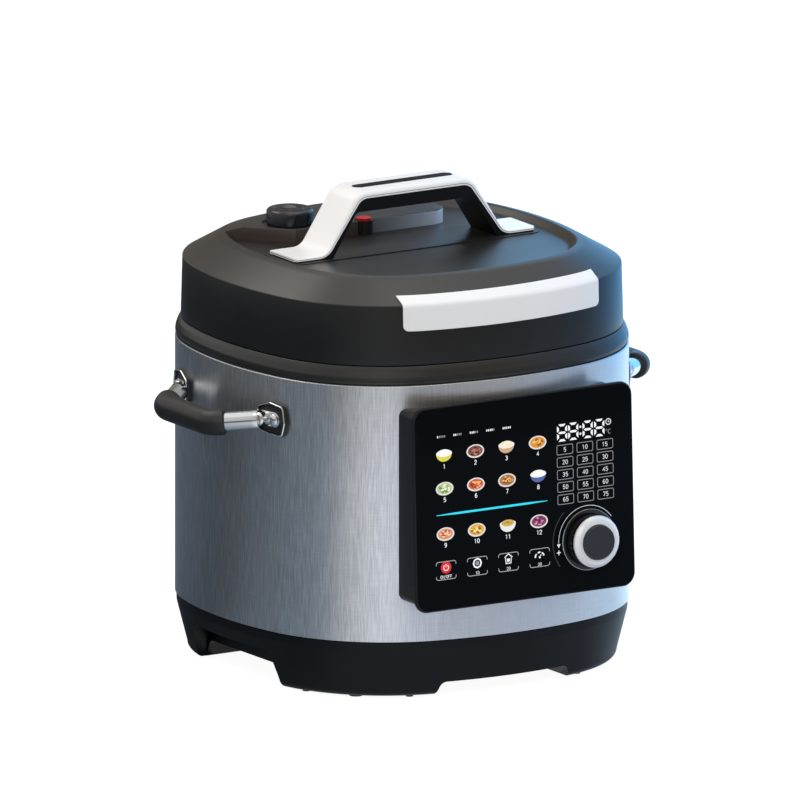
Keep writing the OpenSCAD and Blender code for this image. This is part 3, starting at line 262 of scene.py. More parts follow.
def carve(obj, *cutters):
    """Takes the cutters away from a closed piece and keeps its smooth and sharp edges."""
    for cutter in cutters:
        cut = obj.modifiers.new("carve", "BOOLEAN")
        cut.operation = "DIFFERENCE"
        cut.solver = "EXACT"
        cut.object = cutter
    shape = obj.evaluated_get(bpy.context.evaluated_depsgraph_get())
    mesh = bpy.data.meshes.new_from_object(shape)
    obj.modifiers.clear()
    old, obj.data = obj.data, mesh
    mesh.name = old.name
    bpy.data.meshes.remove(old)
    mesh.set_sharp_from_angle(angle=np.radians(35))
    for cutter in cutters:
        bpy.data.objects.remove(cutter)
    return obj


# ---------------------------------------------------------------- Materials

def linear(hex_code):
    """sRGB hex to linear RGBA."""
    c = np.array([int(hex_code[i : i + 2], 16) for i in (1, 3, 5)]) / 255
    c = np.where(c <= 0.04045, c / 12.92, ((c + 0.055) / 1.055) ** 2.4)
    return (*c, 1.0)


def add(tree, kind, settings=None, **sockets):
    """Adds a shader node, sets its properties, and sets or links its sockets by name or by _number."""
    node = tree.nodes.new("ShaderNode" + kind)
    for key, value in (settings or {}).items():
        setattr(node, key, value)
    for key, value in sockets.items():
        socket = node.inputs[int(key[1:])] if key[0] == "_" else node.inputs[key.replace("_", " ")]
        if isinstance(value, bpy.types.NodeSocket):
            tree.links.new(value, socket)
        else:
            socket.default_value = value
    return node


def bare(name):
    """New material with no nodes yet, and its node tree."""
    material = bpy.data.materials.new(name)
    material.use_nodes = True
    material.node_tree.nodes.clear()
    return material, material.node_tree


def finish_of(name, **sockets):
    """New material with a Principled surface: returns it, its tree, shader and Object coordinates."""
    material, tree = bare(name)
    shader = add(tree, "BsdfPrincipled", **sockets)
    add(tree, "OutputMaterial", Surface=shader.outputs["BSDF"])
    place = add(tree, "TexCoord").outputs["Object"]
    return material, tree, shader, place


def moulded(name, base, rough, grain=0.35, depth=0.02, **sockets):
    """Injection-moulded plastic: an even colour with the fine spark-eroded grain of the mould, whose
    size and depth are in millimetres, and a slow change of gloss where the skin cooled unevenly."""
    material, tree, shader, place = finish_of(name, Base_Color=linear(base), **sockets)
    fine = add(tree, "TexNoise", Vector=place, Scale=1 / (grain * MM), Detail=3.0)
    bump = add(tree, "Bump", Height=fine.outputs["Fac"], Distance=depth * MM, Strength=0.5)
    tree.links.new(bump.outputs["Normal"], shader.inputs["Normal"])
    slow = add(tree, "TexNoise", Vector=place, Scale=28.0, Detail=2.0)
    gloss = add(tree, "MapRange", Value=slow.outputs["Fac"], To_Min=rough - 0.03, To_Max=rough + 0.04)
    tree.links.new(gloss.outputs["Result"], shader.inputs["Roughness"])
    return material


# Width of the steel's upright streaks of painted reflection, in millimetres
REFLECTION_STREAK_W = 0.7


def brushed(name, base, rough, wide=0.3, long=14.0, tall=None, depth=0.004, tone=0.12, **sockets):
    """Stainless sheet drawn past a belt: scratches of the given width and length in millimetres run level,
    and each is a little darker or lighter than the next. Where tall is given, soft upright streaks of that
    length darken it over them, stronger at the left: painted reflection, dark streaks and a darker left side."""
    material, tree, shader, place = finish_of(name, Metallic=1.0, **sockets)

    def streaks(level, upright):
        """Noise drawn out to a length along the wall and a length up it, in millimetres."""
        scale = (1 / (level * MM), 1 / (level * MM), 1 / (upright * MM))
        drawn = add(tree, "Mapping", Vector=place, Scale=scale).outputs["Vector"]
        return add(tree, "TexNoise", Vector=drawn, Scale=1.0, Detail=3.0).outputs["Fac"]

    scratch = streaks(long, wide)
    shade = add(tree, "MapRange", Value=scratch, From_Min=0.3, From_Max=0.7, To_Min=1 - tone, To_Max=1.0)
    shade = shade.outputs["Result"]
    if tall:
        # Painted reflection: dark upright streaks, stronger towards the left of the body
        spread = add(tree, "MapRange", Value=streaks(REFLECTION_STREAK_W, tall), From_Min=0.34, From_Max=0.66)
        side = add(tree, "SeparateXYZ", Vector=place).outputs["X"]
        left_shade = add(tree, "MapRange", Value=side, From_Min=-0.02, From_Max=-0.12, To_Min=0.07, To_Max=0.32)
        times = {"operation": "MULTIPLY"}
        streak_shade = add(tree, "Math", times, _0=spread.outputs["Result"], _1=left_shade.outputs["Result"])
        keep = add(tree, "Math", {"operation": "SUBTRACT"}, _0=1.0, _1=streak_shade.outputs["Value"])
        shade = add(tree, "Math", times, _0=shade, _1=keep.outputs["Value"]).outputs["Value"]
    tint = add(tree, "Mix", {"data_type": "RGBA", "blend_type": "MULTIPLY"}, Factor=1.0)
    tint.inputs[6].default_value = linear(base)
    tree.links.new(shade, tint.inputs[7])
    tree.links.new(tint.outputs[2], shader.inputs["Base Color"])
    gloss = add(tree, "MapRange", Value=scratch, To_Min=rough - 0.05, To_Max=rough + 0.05)
    tree.links.new(gloss.outputs["Result"], shader.inputs["Roughness"])
    bump = add(tree, "Bump", Height=scratch, Distance=depth * MM, Strength=0.5)
    tree.links.new(bump.outputs["Normal"], shader.inputs["Normal"])
    return material


# Satin black ABS from a spark-eroded mould: a fine even grain with little gloss
black_abs = moulded("black_abs", "#0d0e0f", 0.32, grain=0.3, depth=0.01, Specular_IOR_Level=0.42)
# The base's black ABS, coarser and duller; the same black is also laid on as painted shade on the handle
# flat's upright sides and in the knob's slots
base_abs_and_painted_shade = moulded("base_abs_and_painted_shade", "#090a0d", 0.4, grain=0.4, depth=0.02, Specular_IOR_Level=0.16)
# Painted shade for the bottom of a groove between mouldings, where no light comes back
pit_painted_shade = moulded("pit_painted_shade", "#050506", 0.6, grain=0.6, depth=0.02, Specular_IOR_Level=0.05)
# The collar's ABS, a warmer black with a soft shine
collar_abs = moulded("collar_abs", "#1b1a18", 0.3, grain=0.4, depth=0.008, Specular_IOR_Level=0.5)
# The lid's top: the skirt's black plastic with painted light, lighter and warmer where the warm light from
# above falls on it
lit_lid_abs = moulded("lit_lid_abs", "#1e1c19", 0.34, grain=0.4, depth=0.015, Specular_IOR_Level=0.45)
# White ABS with a soft polish, on the lid's trim and the handle's band
white_abs = moulded("white_abs", "#f3f3f3", 0.34, grain=0.8, depth=0.005)
# Polished chrome plate on the handles' rods, brackets and screws
chrome = moulded("chrome_plate", "#dcdcdc", 0.08, grain=3.0, depth=0.001, Metallic=1.0)
# Soft-touch lacquer over the side handles' sleeves: a broad dim sheen
soft_black = moulded("soft_black", "#151413", 0.42, grain=0.25, depth=0.015, Specular_IOR_Level=0.5)
# The core of the lid's handle, the same black without the lacquer
core_black = moulded("core_black", "#0a0a0b", 0.4, grain=0.3, depth=0.01, Specular_IOR_Level=0.16)
# Dark joint between the two parts of the handle's white band
joint_grey = moulded("joint_grey", "#4a4b4e", 0.5)
# Acrylic window of the panel, printed black from behind, with a coating against glare
panel_gloss = moulded("panel_acrylic", "#090c0f", 0.14, grain=6.0, depth=0.0005, Specular_IOR_Level=0.04)
# Polished rim of the same window, past the print: glossier than the face, and painted a lighter grey as a
# highlight along the edge
panel_rim_highlight = moulded("panel_rim_highlight", "#202124", 0.25, grain=2.0, depth=0.0005, Specular_IOR_Level=0.1)
# Housing behind the window: the same black, a little glossier than the body
panel_body = moulded("panel_body", "#191a1b", 0.3, grain=0.5, depth=0.008, Specular_IOR_Level=0.4)
# Brushed stainless wall, whose level scratches spread its highlight up and down, with upright streaks of
# painted reflection that darken it more towards the left
steel = brushed("brushed_stainless", "#cfd1d4", 0.31, tall=15.0, Anisotropic=0.65, Anisotropic_Rotation=0.25)
# Polished slate ABS of the valve's knob
slate = moulded("slate_abs", "#17191d", 0.17, grain=0.9, depth=0.003)
# Dull disc in the middle of the knob
metal_disc = moulded("knob_disc", "#4c4844", 0.35, grain=0.6, depth=0.004)
# Glossy red ABS cap of the float
red_gloss = moulded("red_abs", "#c8141d", 0.25)
# Dark brown inlay in the handle's band, nearly without a shine
inlay_brown = moulded("brown_inlay", "#110c0a", 0.25, grain=0.6, depth=0.004, Specular_IOR_Level=0.06)
# White lacquer of the dial's ring, with a little metal flake in it
ring_metal = moulded("dial_ring_plate", "#f2f2f4", 0.22, grain=1.0, depth=0.002, Metallic=0.2)
# Black gloss of the dial's foot, and the satin blacks of its barrel and button
foot_metal = moulded("dial_foot_plate", "#141517", 0.2, grain=2.0, depth=0.001)
barrel_black = moulded("dial_barrel_black", "#101011", 0.25, grain=1.0, depth=0.002, Specular_IOR_Level=0.3)
button_black = moulded("dial_button_black", "#17191d", 0.34, grain=0.5, depth=0.004)
# Moulded rubber feet: matt, with a coarse skin
rubber = moulded("foot_rubber", "#0f0f10", 0.7, grain=0.5, depth=0.03)
# Pressed steel sheet and spun aluminium, both with wide drawn marks
pressed = brushed("pressed_steel", "#c2c5c9", 0.3, wide=0.6, long=10.0)
spun = brushed("spun_aluminium", "#b4b6b9", 0.4, wide=0.8, long=24.0)
# Moulded silicone seal, milky and soft in its shine
silicone = moulded("silicone", "#d8d4cc", 0.5, IOR=1.41)
# Green solder mask over the circuit boards
board = moulded("solder_mask", "#1f4a2c", 0.4)
# Dull zinc plate on the inner screws
zinc = moulded("zinc_plate", "#9ea1a6", 0.35, Metallic=1.0)

# Front of the lid's platform: the same plastic with a painted reflection, a warm brown reflection at the left
# fading to a pale grey-blue reflection of the blue light at the right
platform_painted_reflection = moulded("platform_painted_reflection", "#3a302a", 0.3, grain=0.5, depth=0.004)
reflection_tree = platform_painted_reflection.node_tree
across = add(reflection_tree, "SeparateXYZ", Vector=add(reflection_tree, "TexCoord").outputs["Object"]).outputs["X"]
reflection_fading = add(reflection_tree, "MapRange", Value=across, From_Min=-0.01, From_Max=0.05).outputs["Result"]
tone = add(reflection_tree, "Mix", {"data_type": "RGBA"}, Factor=reflection_fading)
tone.inputs[6].default_value, tone.inputs[7].default_value = linear("#3a302a"), linear("#a8b6c6")
reflection_tree.links.new(tone.outputs[2], reflection_tree.nodes["Principled BSDF"].inputs["Base Color"])

# The scratches of the wall run round it, so its highlight is drawn out about a round tangent
wall = steel.node_tree
turned_round = add(wall, "Tangent", {"direction_type": "RADIAL", "axis": "Z"}).outputs["Tangent"]
wall.links.new(turned_round, wall.nodes["Principled BSDF"].inputs["Tangent"])

FINISH = {
    "satin_black_plastic": black_abs,
    "brushed_stainless": steel,
    "polished_steel": chrome,
    "pressed_steel": pressed,
    "pot_aluminium": spun,
    "cast_heater": spun,
    "silicone": silicone,
    "rubber": rubber,
    "panel_gloss": panel_gloss,
    "white_plastic": white_abs,
    "knob_plastic": slate,
    "red_plastic": red_gloss,
    "circuit_board": board,
    "zinc_screw": zinc,
}
for part in frame["record"]["subparts"]:
    mesh = nodes[part["node"]].data
    mesh.materials.clear()
    mesh.materials.append(FINISH[part["material_slot"]])
nodes["grip_inlay"].data.materials[0] = inlay_brown


def second(obj, material, chosen):
    """Gives another material to the faces that chosen() picks by their normal and their middle, in
    millimetres."""
    obj.data.materials.append(material)
    for face in obj.data.polygons:
        if chosen(face.normal, face.center / MM):
            face.material_index = 1


def stands_for(obj, slot, *names):
    """The piece hides these CAD nodes; slot is not used."""
    if names:
        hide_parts(*names)
    return obj


# ---------------------------------------------------------------- Body: steel, collar and base

def arc(centre, r, start, end, steps):
    """Points of a circle's arc between two angles in degrees."""
    a = np.radians(np.linspace(start, end, steps + 1))
    return np.asarray(centre) + r * np.column_stack([np.cos(a), np.sin(a)])


def over_axis(points):
    """From the body's own axis to the frame."""
    return np.asarray(points) + [0, AXIS_Y, 0]


def steel_wall():
    """Rolled sheet: straight wall with its top edge rolled over into a small bead."""
    bead = arc([0.9, RIM_Z - 0.9], 0.9, 190, 0, 14)
    outside = [[0.0, BASE_Z + 0.3], [0.0, RIM_Z - 1.6]]
    inside = [[1.2, RIM_Z - 2.0], [1.2, BASE_Z + 0.3]]
    obj = loft("steel_wall", np.concatenate([outside, bead, inside]), steel, "base", close_rows=True)
    return stands_for(obj, "brushed_stainless", "outer_shell")


# Well for the lid, ledge for the pot, and the collar's wall and the inset of its lower seam
WELL_R, LEDGE_R, LEDGE_Z = 126.7, 114.7, DECK_Z - 9.0
COLLAR_WALL, COLLAR_SEAM = 2.6, 6.3


def collar():
    """Moulded collar: a dark groove over the steel's bead, a band that curves in to the lid, a flat
    deck, and a round well with a ledge that the pot's flange lies on."""
    band = fillet(
        [[COLLAR_SEAM, RIM_Z], [1.9, RIM_Z], [1.9, RIM_Z + 0.7], [1.1, RIM_Z + 0.7], [0.9, RIM_Z + 2.5],
         [0.05, RIM_Z + 2.9], [0.3, RIM_Z + 5.6], [1.7, RIM_Z + 9.6], [3.4, DECK_Z], [7.5, DECK_Z]],
        [0, 0, 0.3, 0.1, 0.3, 6, 6, 0.9])
    well = [[WELL_R + 0.5, DECK_Z], [WELL_R, DECK_Z - 0.5], [WELL_R, LEDGE_Z], [LEDGE_R, LEDGE_Z],
            [LEDGE_R, LEDGE_Z - COLLAR_WALL], [WELL_R + COLLAR_WALL, LEDGE_Z - COLLAR_WALL],
            [WELL_R + COLLAR_WALL, DECK_Z - COLLAR_WALL]]
    under = [[COLLAR_SEAM, DECK_Z - COLLAR_WALL]]
    grid = [rings(band), turned(well, over_axis, len(AROUND), AROUND[0]), rings(under)]
    obj = skin("collar_band", np.concatenate(grid), collar_abs, "base", close_rows=True)
    return stands_for(obj, "satin_black_plastic", "top_collar")


# Top of the base's taper, inset and rounding of its feet, and height of the pads under them
BASE_BAND = BASE_Z - 6
FOOT_IN, FOOT_R, PAD_H = 8.0, 5.0, 1.5
TAPER_H = BASE_BAND - PAD_H - FOOT_R
# Finger recesses at the sides and arches in front and behind, with how far each widens downwards
RECESS_W, RECESS_H, RECESS_D, RECESS_SPREAD = 95.0, 26.3, 14.0, 5.5
ARCH_W, ARCH_H, ARCH_SPREAD = 96.0, 10.2, 4.0
# Floor with the bottom cover's round well, the inlet's box, and a length that goes past the body
FLOOR_Z, COVER_R = 13.0, 88
INLET_Z, INLET_HALF_W, INLET_HALF_H, INLET_D = 26.5, 15.6, 11.6, 25
PAST = 400.0


def base_inset(z):
    """Inset of the base's wall at a height: it tapers evenly from the band down to the feet."""
    return 1 + (FOOT_IN - 1) * (BASE_BAND - z) / TAPER_H


def notch(name, w, h, spread, length, along_x, offset=0.0, r=5.0):
    """Cutter for a gap under the base: a trapezoid with rounded upper corners, which starts below
    the feet, carried along X or Y."""
    below = 3
    wide = w / 2 + spread * (h + below) / h
    side = ring_fillet([[wide, -below], [w / 2, h], [-w / 2, h], [-wide, -below]], [0.01, r, r, 0.01], 8)
    ends = np.array([offset - length / 2, offset + length / 2])
    grid = np.zeros((2, len(side), 3))
    across, run = (1, 0) if along_x else (0, 1)
    grid[..., across] = side[:, 0]
    grid[..., 2] = side[:, 1]
    grid[..., run] = ends[:, None]
    return skin(name, over_axis(grid), black_abs, None, (True, True))


def base_shell():
    """Moulded base: tapered wall on a rounded foot, with finger recesses at the sides, low arches
    front and back, a round well for the bottom cover, and a tilted box at the back for the inlet."""
    foot = arc([FOOT_IN + FOOT_R, PAD_H + FOOT_R], FOOT_R, 270, 180, 10)
    top = fillet([[base_inset(BASE_BAND - 3), BASE_BAND - 3], [1, BASE_BAND],
                  [0.9, BASE_Z - 0.2], [4, BASE_Z - 0.2]], [6, 0.5])
    obj = loft("base_shell", np.concatenate([foot, top]), base_abs_and_painted_shade, "base", (True, True))
    flank = np.sqrt(FLANK_R**2 - (RECESS_W / 2) ** 2) + FLANK_C
    inner = flank - base_inset(RECESS_H) - RECESS_D
    reach = 40.0
    cuts = [notch("arch_cut", ARCH_W, ARCH_H, ARCH_SPREAD, PAST, False),
            notch("tunnel_cut", RECESS_W, FLOOR_Z, RECESS_SPREAD, PAST, True)]
    for side in (-1, 1):
        middle = side * (inner + reach / 2)
        cuts.append(notch("recess_cut", RECESS_W, RECESS_H, RECESS_SPREAD, reach, True, middle))
    well = turned([[0.01, -5], [COVER_R, -5], [COVER_R, FLOOR_Z], [0.01, FLOOR_Z]], over_axis)
    cuts.append(skin("well_cut", well, black_abs, None, (True, True)))
    lean = np.arctan2(FOOT_IN - 1, TAPER_H)
    corners = [(-1, -1), (1, -1), (1, 1), (-1, 1)]
    box = np.array([[[x * INLET_HALF_W, y, z * INLET_HALF_H] for x, z in corners]
                    for y in (-INLET_D, INLET_D)])
    back = box[..., 1] * np.cos(lean) + box[..., 2] * np.sin(lean) + HALF_W - base_inset(INLET_Z)
    up = box[..., 2] * np.cos(lean) - box[..., 1] * np.sin(lean) + INLET_Z
    inlet = over_axis(np.stack([box[..., 0], back, up], -1))
    cuts.append(skin("inlet_cut", inlet, black_abs, None, (True, True)))
    obj = carve(obj, *cuts)
    return stands_for(obj, "satin_black_plastic", "base_housing")


steel_wall()
collar()
base_shell()

# ---------------------------------------------------------------- Lid

lid_lo, lid_hi = cad("lid_cover")
SKIRT_Z, PLATFORM_Z = lid_lo[2], lid_hi[2]
# Upright skirt, crown above its crease, and how deep the middle is sunk below the crest
SKIRT_H, CROWN_H, DISH_DEEP = 40.2, 14.5, 4.8
EDGE_Z = SKIRT_Z + SKIRT_H
CREST_Z = EDGE_Z + CROWN_H
DISH_Z = CREST_Z - DISH_DEEP
# Insets of the skirt's foot, the crease and the crest, and the crown's rise for its run
SKIRT_IN, EDGE_IN = 3.7, 4.8
CREST_IN = EDGE_IN + 27.7
CROWN_SLOPE = 13.6 / 23.7
# Handle and valve knob, with the knob's well and the inset from which the platform's back slopes
grip_lo, grip_hi = cad("grip_band")
SEAT_Z = DISH_Z - 0.6
HANDLE_L, HANDLE_W = grip_hi[0] - grip_lo[0], grip_hi[1] - grip_lo[1]
HANDLE_TOP = grip_hi[2]
knob_lo, knob_hi = cad("valve_knob")
KNOB_AT = (knob_lo + knob_hi)[:2] / 2 - [0, AXIS_Y]
KNOB_R, KNOB_H = 15.5, 10.0
WELL_ROOM, WELL_DEEP = 3, 1.4
SLOPE_IN = 46.0


def lid_shell():
    """Moulded lid: a nearly upright skirt, a crease, a crown that rises to a crest, and a sunk
    top on which the handle stands."""
    outside = fillet(
        [[SKIRT_IN + 2.5, SKIRT_Z + 12], [SKIRT_IN + 2.5, SKIRT_Z], [SKIRT_IN, SKIRT_Z], [EDGE_IN, EDGE_Z],
         [CREST_IN - 4, CREST_Z - 0.9], [CREST_IN + 1.5, CREST_Z], [CREST_IN + 7, DISH_Z],
         [CREST_IN + 16, DISH_Z]],
        [0, 0.8, 1.0, 14, 3.0, 5], 8)
    obj = loft("lid_shell", outside, lit_lid_abs, "lid", (True, True))
    # Painted light: the crown takes the lighter, warmer copy, and the skirt below the crease keeps the plain
    # black
    second(obj, black_abs, lambda normal, middle: middle[2] < EDGE_Z - 0.6)
    return stands_for(obj, "satin_black_plastic", "lid_cover")


def handle_flat():
    """Low raised flat that the handle stands on, with a softened edge."""
    obj = prism("handle_flat", rounded(HANDLE_L + 6, HANDLE_W + 8, 7), 1.5,
                lambda p: over_axis(p + [0, 0, DISH_Z + 0.5]), lit_lid_abs, "lid", edge=0.12, steps=2)
    # Painted shade: the flat's upright sides take the darker, duller black, so its edge reads as a dark line
    second(obj, base_abs_and_painted_shade, lambda normal, middle: abs(normal[2]) < 0.5)
    return stands_for(obj, "satin_black_plastic")


def crossing(inside, outside, level):
    """Point between two points at which level(), positive inside, is nought."""
    a, b = level(inside), level(outside)
    return inside + (outside - inside) * a / (a - b)


def at_knob(p):
    """From the valve knob's own axis to the frame."""
    return over_axis(p + [*KNOB_AT, 0])


def platform():
    """Raised deck behind the handle: the crest's own curve at the back, where it slopes down to the
    crest, a straight wall in front, a pointed left end and a round right end, with a round well for
    the valve's knob."""
    left, front, right, corner = np.array([-60.0, 36.0]), 36.0, 47.0, 12.0
    slant = np.array([154.0, 140.0])
    ring = plan(np.radians(np.linspace(20, 200, 361)), CREST_IN + 0.6) - [0, AXIS_Y]

    def past_left(p):
        """Positive to the right of the platform's slanted left end."""
        return (p - left) @ slant

    def past_right(p):
        """Positive to the left of its right end."""
        return right + corner - p[..., 0]

    keep = np.flatnonzero((past_left(ring) > 0) & (past_right(ring) > 0))
    first, last = keep[0], keep[-1]
    back = [crossing(ring[first], ring[first - 1], past_right), *ring[first : last + 1],
            crossing(ring[last], ring[last + 1], past_left)]
    wall = fillet([back[-1], left, [right + corner, front], back[0]], [1.2, corner], 10)
    outline = np.concatenate([back[1:-1], wall])
    obj = prism("platform", outline, PLATFORM_Z - DISH_Z + 2,
                lambda p: over_axis(p + [0, 0, PLATFORM_Z]), lit_lid_abs, "lid", edge=0.9)
    well_r, bottom, over = KNOB_R + WELL_ROOM, PLATFORM_Z - WELL_DEEP, PLATFORM_Z + 9
    well = turned([[0.01, bottom], [well_r, bottom], [well_r, over], [0.01, over]], at_knob)
    slope = loft("slope_cut", [[SLOPE_IN, PLATFORM_Z], [CREST_IN + 0.4, CREST_Z + 0.3],
                               [CREST_IN - 4, CREST_Z + 0.3], [CREST_IN - 4, over], [SLOPE_IN, over]],
                 lit_lid_abs, None, close_rows=True)
    obj = carve(obj, skin("knob_well", well, black_abs, None, (True, True)), slope)
    knob_at = at_knob(np.zeros(3))[:2]

    def in_front(normal, middle):
        """Upright faces that look forward, apart from the well's own wall."""
        from_knob = np.hypot(*(np.array(middle)[:2] - knob_at))
        return abs(normal[2]) < 0.5 and normal[1] < -0.2 and abs(from_knob - KNOB_R - WELL_ROOM) > 0.5

    # Painted reflection: the platform's front faces take the brown to grey-blue fading
    second(obj, platform_painted_reflection, in_front)
    return stands_for(obj, "satin_black_plastic")


def trim():
    """White trim over the front crease: the line of the skirt and crown carried across the front,
    where each end is drawn in along a quarter circle at the lower corners, then given a wall."""
    lo, hi = cad("lid_trim")
    half = (hi[0] - lo[0]) / 2
    low, over, round_r = EDGE_Z - 17, 8, 3.6
    front = fillet([[SKIRT_IN + 1.1 * (low - SKIRT_Z) / SKIRT_H, low], [EDGE_IN, EDGE_Z],
                    [EDGE_IN + over, EDGE_Z + over * CROWN_SLOPE]], [2.2], 8)
    along = (front[1] - front[0]) / np.linalg.norm(front[1] - front[0])
    corner = front[0] + along * np.linspace(0, round_r, 9)[:, None]
    rows = np.concatenate([corner, np.linspace(corner[-1], front[1], 5)[1:-1], front[1:-1],
                           np.linspace(front[-2], front[-1], 5)[1:]])
    length = np.concatenate([[0], np.cumsum(np.linalg.norm(np.diff(rows, axis=0), axis=1))])
    drawn = round_r - np.sqrt(np.clip(round_r**2 - (round_r - np.minimum(length, round_r)) ** 2, 0, None))
    x = np.linspace(-1, 1, 121) * (half - drawn[:, None])
    flank = np.abs(x) < FLANK_END
    r, c = np.where(flank, FLANK_R, CORNER_R), np.where(flank, 0, CORNER_C)
    y = -(np.sqrt((r - rows[:, :1]) ** 2 - (np.abs(x) - c) ** 2) + np.where(flank, FLANK_C, CORNER_C))
    grid = over_axis(np.stack([x, y, np.broadcast_to(rows[:, 1:], x.shape)], -1))
    obj = skin("trim_cap", grid, white_abs, "lid", close_cols=False)
    thick = obj.modifiers.new("thick", "SOLIDIFY")
    thick.thickness = 1.2 * MM
    thick.offset = 1.0
    soft = obj.modifiers.new("soft", "BEVEL")
    soft.width = 0.35 * MM
    soft.segments = 2
    return stands_for(obj, "white_plastic", "lid_trim")


lid_shell()
handle_flat()
platform()
trim()

# ---------------------------------------------------------------- Lid handle

# Lengths of the grip and the pads, and thickness of the band, its lip and the core's legs and grip
GRIP_L, PAD_L, BAND_T, LIP_T, LEG_T, GRIP_T = 88.0, 24.0, 2.4, 4.6, 3.8, 11.0
RISE = HANDLE_TOP - SEAT_Z
PAD_TOP, PAD_ROUND = 4.0, 3.0
END = HANDLE_L / 2
# Slope of the legs, from the grip's end down to the pad
LEG_A = np.arctan2(RISE - PAD_TOP, END - PAD_L - GRIP_L / 2)


def leg_x(t, z):
    """Place along the handle where the leg's face, drawn in by t, is at height z."""
    return GRIP_L / 2 + (RISE - z) / np.tan(LEG_A) - t / np.sin(LEG_A)


def grip_line(t0, t1, steps=14):
    """Right half of the handle's side view: drawn in by t0 along the grip and by t1 at the pad."""
    top, low = RISE - t0, PAD_TOP - t1
    return fillet([[0, top], [leg_x(t0, top), top], [leg_x(t1, low), low], [END, low]],
                  [14 - t0, 10 + t1], steps)


def bowed(name, upper, lower, width, material, soft=(0, 0)):
    """Bow-shaped bar carried across its width: the loop between an upper and a lower half line,
    mirrored in the middle. Towards each side the upper line sinks along a quarter ellipse, by the
    two amounts of soft at the grip and at the pads, and the pads' ends are round in plan."""
    turn_over = np.radians(np.linspace(0, 90, 10))
    side = list(zip(width / 2 - PAD_ROUND * (1 - np.sin(turn_over)), 1 - np.cos(turn_over)))
    grid = []
    for y, share in [(-y, share) for y, share in side[::-1]] + side:
        top = grip_line(upper[0] + soft[0] * share, upper[1] + soft[1] * share)
        loop = np.concatenate([(top * [-1, 1])[::-1], top[1:], lower[::-1], (lower * [-1, 1])[1:]])
        reach = END - PAD_ROUND * share
        grid.append(np.column_stack([np.clip(loop[:, 0], -reach, reach), np.full(len(loop), y), loop[:, 1]]))
    return skin(name, over_axis(np.array(grid) + [0, 0, SEAT_Z]), material, "lid", (True, True), sharp=50)


def grip():
    """Handle of the lid: a white band with soft edges, in two parts with a fine dark joint between,
    over a black core whose legs are slim and whose grip is deep enough for four fingers."""
    w = HANDLE_W
    top = bowed("band_shell", (0.06, 0), grip_line(3.3, 1.1), w, white_abs, (3.1, 0.8))
    joint = bowed("band_joint", (3.2, 1.0), grip_line(3.8, 1.5), w - 0.7, joint_grey)
    strip = bowed("band_strip", (3.7, 1.4), grip_line(LIP_T, BAND_T - 0.4), w, white_abs)
    stands_for(top, "white_plastic", "grip_band")
    stands_for(joint, "satin_black_plastic")
    stands_for(strip, "white_plastic")
    t, low = BAND_T + LEG_T, RISE - BAND_T - GRIP_T
    under = fillet([[0, low], [leg_x(t, low), low], [leg_x(t, 0), 0]], [5], 8)
    under = np.concatenate([under, [[END - 0.3, 0]]])
    core = bowed("core_shell", (LIP_T - 0.1, BAND_T - 0.5), under, w - 1.0, core_black)
    stands_for(core, "satin_black_plastic", "grip_core")


def inlay():
    """Dark stadium set into the top of the white band."""
    obj = prism("band_inlay", rounded(76, 9.6, 4.79, 12), 0.6,
                lambda p: over_axis(p + [0, 0, HANDLE_TOP]), inlay_brown, "lid", edge=0.1, steps=1)
    return stands_for(obj, "satin_black_plastic", "grip_inlay")


grip()
inlay()

# ---------------------------------------------------------------- Steam valve

KNOB_TOP = PLATFORM_Z + KNOB_H


def knob():
    """Valve knob: a low drum with a soft top edge and a flat cap, and on it two curved slots around a small
    disc. The slots are thin dark arcs laid just over the cap: painted shade in place of their depth."""
    low = PLATFORM_Z - 1.1
    profile = fillet([[0.01, low], [KNOB_R - 0.4, low], [KNOB_R, low + 1], [KNOB_R, KNOB_TOP - 0.1],
                      [10.6, KNOB_TOP + 0.1], [10.2, KNOB_TOP - 0.35], [9.8, KNOB_TOP - 0.35],
                      [9.4, KNOB_TOP + 0.5], [0.01, KNOB_TOP + 0.5]], [0.2, 0.3, 2.4, 0.3, 0.1, 0.1, 0.3], 8)
    obj = skin("knob_body", turned(profile, at_knob, 128), slate, "valve", (True, True))
    stands_for(obj, "knob_plastic", "valve_knob")
    for start in (140, 320):
        end = start + 90
        ring = np.concatenate([arc([0, 0], 7.9, start, end, 20), arc([0, 0], 5.5, end, start, 20)])
        # Painted shade: each slot is a thin dark sheet over the cap, not a cut
        slot = prism("knob_slot_painted_shade", ring, 0.3,
                     lambda p: at_knob(p + [0, 0, KNOB_TOP + 0.53]), base_abs_and_painted_shade, "valve")
        stands_for(slot, "satin_black_plastic")
    low, high, disc_r = KNOB_TOP + 0.3, KNOB_TOP + 0.9, 4.3
    disc = fillet([[0.01, low], [disc_r, low], [disc_r, high], [0.01, high]], [0.1, 0.3], 3)
    obj = skin("knob_disc", turned(disc, at_knob, 64), metal_disc, "valve", (True, True))
    stands_for(obj, "knob_plastic")


knob()

# ---------------------------------------------------------------- Side handles

# Brackets on the flank's arc, and the angle of the wall's normal there
BRACKET_Y, BRACKET_Z = 56.0, RIM_Z - 28.5
BRACKET_A = np.arcsin(BRACKET_Y / FLANK_R)
BRACKET_X = np.sqrt(FLANK_R**2 - BRACKET_Y**2) + FLANK_C
# Rod, sleeve, the bend's radius, how far the grip stands out, and how the arms splay and droop
BAR_R, SLEEVE_R, BAR_BEND, REACH = 5.8, 8.7, 14.0, 32.0
SPLAY, DROOP = np.radians(41), np.radians(8)
BEND_A = np.pi / 2 - SPLAY
BEND_X = REACH - BAR_BEND * (1 - np.cos(BEND_A))
BAR_HALF = BRACKET_Y - BAR_BEND * np.sin(BEND_A) - BEND_X * np.tan(SPLAY)
BEND_Y = BAR_HALF + BAR_BEND * np.sin(BEND_A)
ARM = np.array([np.cos(SPLAY), -np.sin(SPLAY)])
